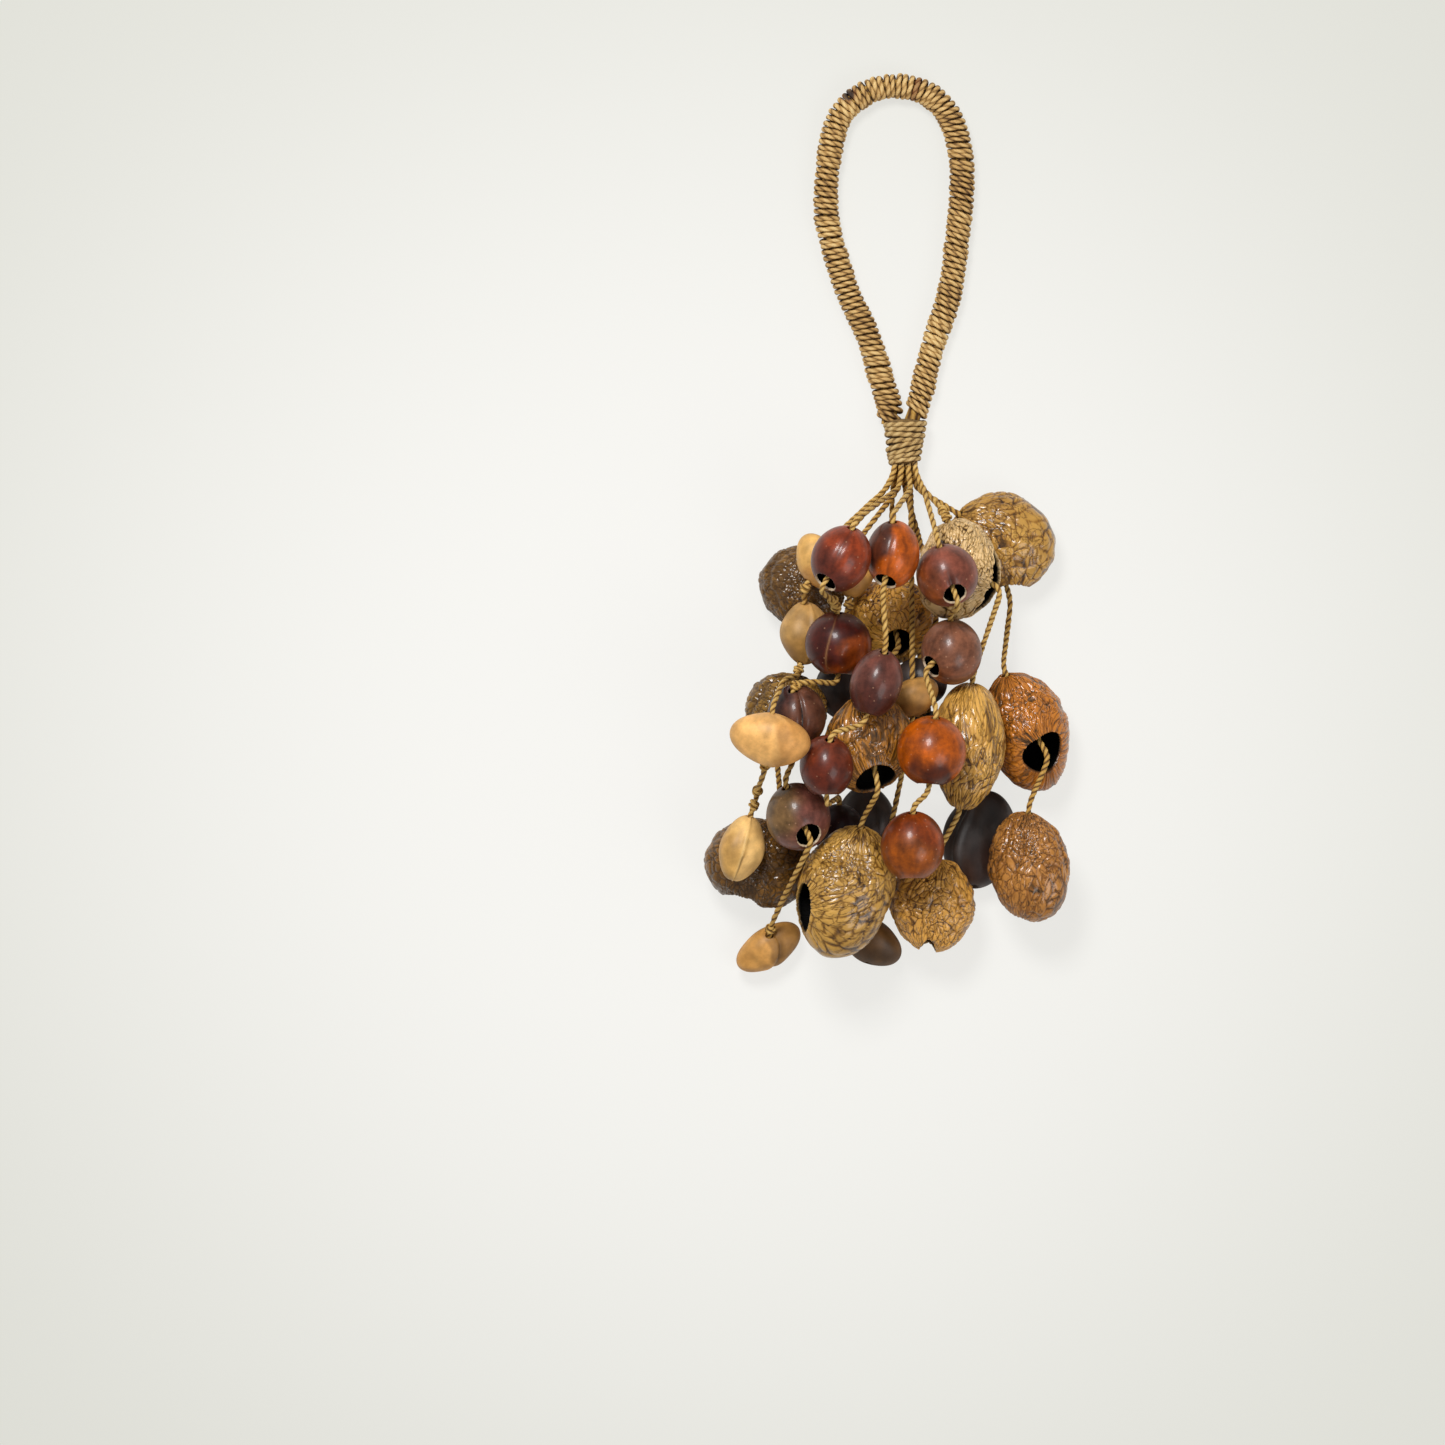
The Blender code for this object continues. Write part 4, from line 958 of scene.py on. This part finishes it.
RED = {
    1: dict(order=20, size=(0.020, 0.022, 0.018), turn=0, hole=(0, 5), mouth=(180, -5), mouth_radius=0.0044,
            tint=("#4A1F1E", "#30151A", (0, 40), 0.2, 0.6)),
    2: dict(order=25, size=(0.024, 0.025, 0.022), turn=-15, hole=(-15, 15), mouth=(158, 42), mouth_radius=0.0046,
            tint=("#8A4A38", "#924A20", (250, 0), 0.45, 0.6),
            folds=(((-10, 66), -0.0007, 0.12, 0.0, -0.7, 0.6),)),
    3: dict(order=26, size=(0.023, 0.025, 0.021), turn=0, hole=(-9, 30), mouth=(180, -5), mouth_radius=0.0046,
            tint=("#4C2C2A", "#683E2C", (90, 40), 0.2, 0.8),
            folds=(((14, 62), -0.0012, 0.13, 0.1, 0.1, 1.0), ((-40, 70), 0.0003, 0.5, 0.0, 0.0, 1.2))),
    4: dict(order=30, size=(0.020, 0.028, 0.019), turn=18, hole=(15, 15), mouth=(196, 0), mouth_radius=0.0044,
            tint=("#744034", "#5A2C22", (200, 10), 0.3, 0.7)),
    5: dict(order=29, size=(0.026, 0.026, 0.022), turn=0, hole=(0, 12), mouth=(180, 0), mouth_radius=0.0048,
            tint=("#50180E", "#A0460A", (140, 20), 0.62, 0.45),
            seam=(((-48, 62), -1, 0.035, 0.25, 0.0, 1.0), "#A9794E")),
    6: dict(order=31, size=(0.021, 0.025, 0.020), turn=0, hole=(7, 25), mouth=(180, 0), mouth_radius=0.0046,
            tint=("#7A341C", "#682612", (190, 30), 0.3, 0.8)),
    7: dict(order=28, size=(0.024, 0.026, 0.021), turn=0, hole=(-2, 10), mouth=(236, 25), mouth_radius=0.0044,
            tint=("#8E583E", "#924A18", (200, 0), 0.72, 0.4)),
    8: dict(order=33, size=(0.027, 0.028, 0.023), turn=7, hole=(7, 12), mouth=(184, 0), mouth_radius=0.0048,
            tint=("#BE5800", "#5E2406", (194, 30), 0.74, 0.35)),
    9: dict(order=34, size=(0.025, 0.028, 0.022), turn=0, hole=(0, 12), mouth=(180, 0), mouth_radius=0.0048,
            tint=("#903C0A", "#A04E04", (185, 30), 0.3, 0.7)),
    10: dict(order=27, size=(0.025, 0.027, 0.022), turn=-20, hole=(-22, 18), mouth=(150, 42), mouth_radius=0.0052,
             tint=("#7C483C", "#80603A", (-80, 40), 0.55, 0.7)),
    11: dict(order=35, size=(0.021, 0.027, 0.019), turn=6, hole=(0, 10), mouth=(196, 18), mouth_radius=0.0044,
             tint=("#C45A04", "#64301C", (-60, 24), 0.62, 0.45),
             folds=(((-20, 78), -0.0003, 0.10, 0.1, -0.1, 0.8),)),
    12: dict(order=36, size=(0.023, 0.027, 0.020), turn=26, hole=(20, 12), mouth=(214, 18), mouth_radius=0.0046,
             tint=("#9C3C16", "#662C1E", (225, 10), 0.45, 0.7), folds=(((-40, 78), -0.0003, 0.12, 0.0, 0.2, 1.0),)),
}

red_finish = polished_finish("polished_red", "#C8B294")
for number, form in RED.items():
    form.update(wave=0.012, ridges=4, ridge=0.02, streak=0.12)
    solid = f"red_shell_{number:02d}"
    middle = middle_of(solid, form, RED_WALL, *grid(*RED_SOLID))
    share, turn = grid(RED_ROWS, RED_AROUND)
    form.setdefault("ragged", 0.05)
    relief = folds(ring_ways(form, share, turn, RED_WALL), form)[0]
    piece, all_ways, inside = hollow(
        f"red_{number:02d}", middle, form, RED_WALL, RED_THICK, share, turn, RED_INNER, relief
    )
    paint(piece, tint=tints(all_ways, form), inside=(inside == 1) * 1.0, rim=((inside > 0) & (inside < 1)) * 1.0)
    belongs(piece, red_finish, solid)


# Tan and black nuts
# Whole seeds, bored through for the cord: smooth pale ones with a soft seam ridge, drawn out to blunt
# points, and flatter black ones with a raised edge.
WHOLE_ROWS, WHOLE_AROUND = 96, 120
WHOLE_SOLID = (8, 10)


def whole_finish(name, specks, rough):
    """A dry seed coat in its painted colours: cloudy mottling, small dark specks, and a satin or dull face."""
    material, tree, shader = new_finish(name)
    given = effect(
        tree, seed_mottling, place=object_place(tree), tint=painted(tree, "tint", "Color"),
        shadow=colour("#8A7862"), speck=colour(specks),
        pace=170.0, grain=0.62, low=0.38, high=0.68, depth=0.45, strewn=800.0, dot=0.16,
    )
    tree.links.new(given["Colour"], shader.inputs["Base Color"])
    gloss = ranged(tree, given["Cloud"], to_min=rough - 0.08, to_max=rough + 0.1)
    tree.links.new(gloss, shader.inputs["Roughness"])
    bumped(tree, shader, given["Cloud"], 0.00012, 0.5)
    return material


def whole_nut(name, node, form, finish):
    """A bored seed: its skin from hole to hole, and the bore between them."""
    ways = ring_ways(form, *grid(WHOLE_ROWS, WHOLE_AROUND), 0.0)
    far = reach(ways, form) + folds(ways, form)[0]
    rings = ways * far[..., None] + middle_of(node, form, 0.0, *grid(*WHOLE_SOLID))
    piece = surface(name, (rings, True))
    paint(piece, tint=tints(ways, form))
    belongs(piece, finish, node)


TAN = {
    1: dict(order=5, size=(0.018, 0.027, 0.016), turn=121, hole=(10, 5), mouth=(190, 5),
            tint=("#7A5426", "#5E3F1C", (180, 0), 0.3, 0.6)),
    2: dict(order=8, size=(0.016, 0.029, 0.015), turn=58, taper=0.05, hole=(13, 50), mouth=(193, -40),
            tint=("#DCA050", "#A87838", (80, 10), 0.30, 0.25), folds=(((76, 55), -0.0012, 0.16, 0.3, 0.0, 1.0),)),
    3: dict(order=14, size=(0.015, 0.022, 0.014), turn=10, hole=(10, 5), mouth=(190, 5),
            tint=("#D8A050", "#B07E3C", (180, 0), 0.3, 0.6)),
    4: dict(order=15, size=(0.017, 0.025, 0.015), turn=150, hole=(30, 5), mouth=(210, 5),
            tint=("#EDB866", "#D09850", (180, 0), 0.3, 0.6)),
    5: dict(order=18, size=(0.015, 0.022, 0.014), turn=60, hole=(0, 5), mouth=(180, 5),
            tint=("#D09A50", "#B8803C", (180, 0), 0.3, 0.6)),
    6: dict(order=21, size=(0.021, 0.025, 0.017), turn=0, hole=(0, 10), mouth=(190, 5),
            tint=("#CC9E5A", "#B88A48", (180, 0), 0.3, 0.6), folds=(((60, 60), 0.0007, 0.16, 0.0, 0.0, 1.1),)),
    7: dict(order=24, size=(0.018, 0.027, 0.017), turn=16, hole=(16, 5), mouth=(196, 0),
            tint=("#F8C87A", "#DCAA5C", (-90, 20), 0.3, 0.6), seam=(((40, 74), -1, 0.05, 0.0, 0.0, 1.0), "#F2CC82"),
            folds=(((40, 74), 0.0010, 0.14, 0.0, 0.0, 1.1), ((52, 70), -0.0008, 0.06, 0.0, -0.6, 0.35))),
    8: dict(order=32, size=(0.021, 0.033, 0.018), turn=100, hole=(4, 10), mouth=(192, -30),
            tint=("#FCC070", "#E8A85A", (100, 0), 0.3, 0.4), folds=(((80, 50), 0.0006, 0.22, 0.35, 0.0, 1.1),)),
}
tan_finish = whole_finish("tan_seed", "#8A6032", 0.5)
for number, form in TAN.items():
    form.update(wave=0.02, tip=0.22, ridges=3, ridge=0.06)
    whole_nut(f"tan_{number:02d}", f"tan_nut_{number:02d}", form, tan_finish)

BLACK = {
    1: dict(order=6, size=(0.022, 0.028, 0.016), turn=0, hole=(0, 5), mouth=(180, 5)),
    2: dict(order=7, size=(0.028, 0.040, 0.018), turn=12, taper=-0.08, hole=(-4, 5), mouth=(188, 5),
            folds=(((-70, 42), 0.0016, 0.13, 0.25, 0.0, 1.0), ((60, 50), -0.0010, 0.5, 0.0, 0.0, 1.0))),
    3: dict(order=9, size=(0.020, 0.025, 0.016), turn=0, hole=(0, 5), mouth=(180, 5)),
    4: dict(order=10, size=(0.021, 0.020, 0.016), turn=0, hole=(0, 5), mouth=(180, 5)),
    5: dict(order=11, size=(0.020, 0.022, 0.015), turn=0, hole=(0, 5), mouth=(180, 5)),
}
black_finish = whole_finish("black_seed", "#3A3634", 0.36)
for number, form in BLACK.items():
    form.update(wave=0.03, tip=0.10, ridges=2, ridge=0.07, tint=("#463C38", "#3E2A22", (150, 0), 0.4, 0.5))
    whole_nut(f"black_{number:02d}", f"black_nut_{number:02d}", form, black_finish)


# Table and light
# A pale table with a painted pool of light, a shade darker towards the corners of the view, under one
# broad soft lamp from the loop's end, a weaker one from the other side, and a white room.
TABLE_HALF = 4.0
TABLE_DROP = 0.0004
TABLE_LIT_MIDDLE, TABLE_DIM_EDGE = "#F5F4F0", "#DEDED6"
TABLE_LIGHT_FALLOFF = 0.45
TABLE_GLOW = 0.82

table_mesh = bpy.data.meshes.new("table")
table_corners = [(x * TABLE_HALF, y * TABLE_HALF, -TABLE_DROP) for x, y in ((-1, -1), (1, -1), (1, 1), (-1, 1))]
table_mesh.from_pydata(table_corners, [], [(0, 1, 2, 3)])
table = bpy.data.objects.new("table", table_mesh)
bpy.context.scene.collection.objects.link(table)
table_finish, tree, shader = new_finish("pale_table")
place = add(tree, "ShaderNodeTexCoord").outputs["Object"]
off = add(tree, "ShaderNodeVectorMath", {0: place, 1: (*VIEW_MIDDLE, -TABLE_DROP)}, operation="SUBTRACT")
far = add(tree, "ShaderNodeVectorMath", {0: off.outputs[0]}, operation="LENGTH")
# Painted light: the table fades from a paler middle to darker corners, as a pool of light would.
painted_falloff = add(tree, "ShaderNodeMapRange", {"Value": far.outputs["Value"], "From Min": 0.08, "From Max": TABLE_LIGHT_FALLOFF})
painted_falloff.interpolation_type = "SMOOTHSTEP"
tree.links.new(ramp(tree, painted_falloff.outputs["Result"], (0, TABLE_LIT_MIDDLE), (1, TABLE_DIM_EDGE)), shader.inputs["Base Color"])
shader.inputs["Roughness"].default_value = 0.9
shader.inputs["Specular IOR Level"].default_value = 0.0
glow = add(tree, "ShaderNodeEmission", {"Color": shader.inputs["Base Color"].links[0].from_socket, "Strength": 1.0})
seen = add(tree, "ShaderNodeLightPath")
share = arithmetic(tree, "MULTIPLY", seen.outputs["Is Camera Ray"], TABLE_GLOW)
both = add(tree, "ShaderNodeMixShader", {0: share, 1: shader.outputs[0], 2: glow.outputs[0]})
tree.links.new(both.outputs[0], tree.nodes["Material Output"].inputs["Surface"])
table_mesh.materials.append(table_finish)


def lamp(name, place, size, watts):
    """Square soft lamp that looks at the middle of the pile."""
    light = bpy.data.lights.new(name, "AREA")
    light.size = size
    light.energy = watts
    holder = bpy.data.objects.new(name, light)
    holder.location = place
    holder.rotation_euler = (Vector((0.0, -0.03, 0.02)) - Vector(place)).to_track_quat("-Z", "Y").to_euler()
    bpy.context.scene.collection.objects.link(holder)


lamp("key", (-0.35, 0.75, 1.5), 0.5, 23.0)
lamp("fill", (0.9, -0.7, 1.3), 0.9, 8.0)

world = bpy.data.worlds.new("white_room")
bpy.context.scene.world = world
world.use_nodes = True
tree = world.node_tree
tree.nodes.clear()
seen = add(tree, "ShaderNodeLightPath")
shown = arithmetic(tree, "MAXIMUM", seen.outputs["Is Camera Ray"], seen.outputs["Is Transmission Ray"])
room = add(tree, "ShaderNodeBackground", {"Color": colour("#FFFFFF"), "Strength": 0.28})
backdrop = add(tree, "ShaderNodeBackground", {"Color": colour("#EDECE6"), "Strength": 1.0})
chosen = add(tree, "ShaderNodeMixShader", {0: shown, 1: room.outputs[0], 2: backdrop.outputs[0]})
add(tree, "ShaderNodeOutputWorld", {"Surface": chosen.outputs[0]})
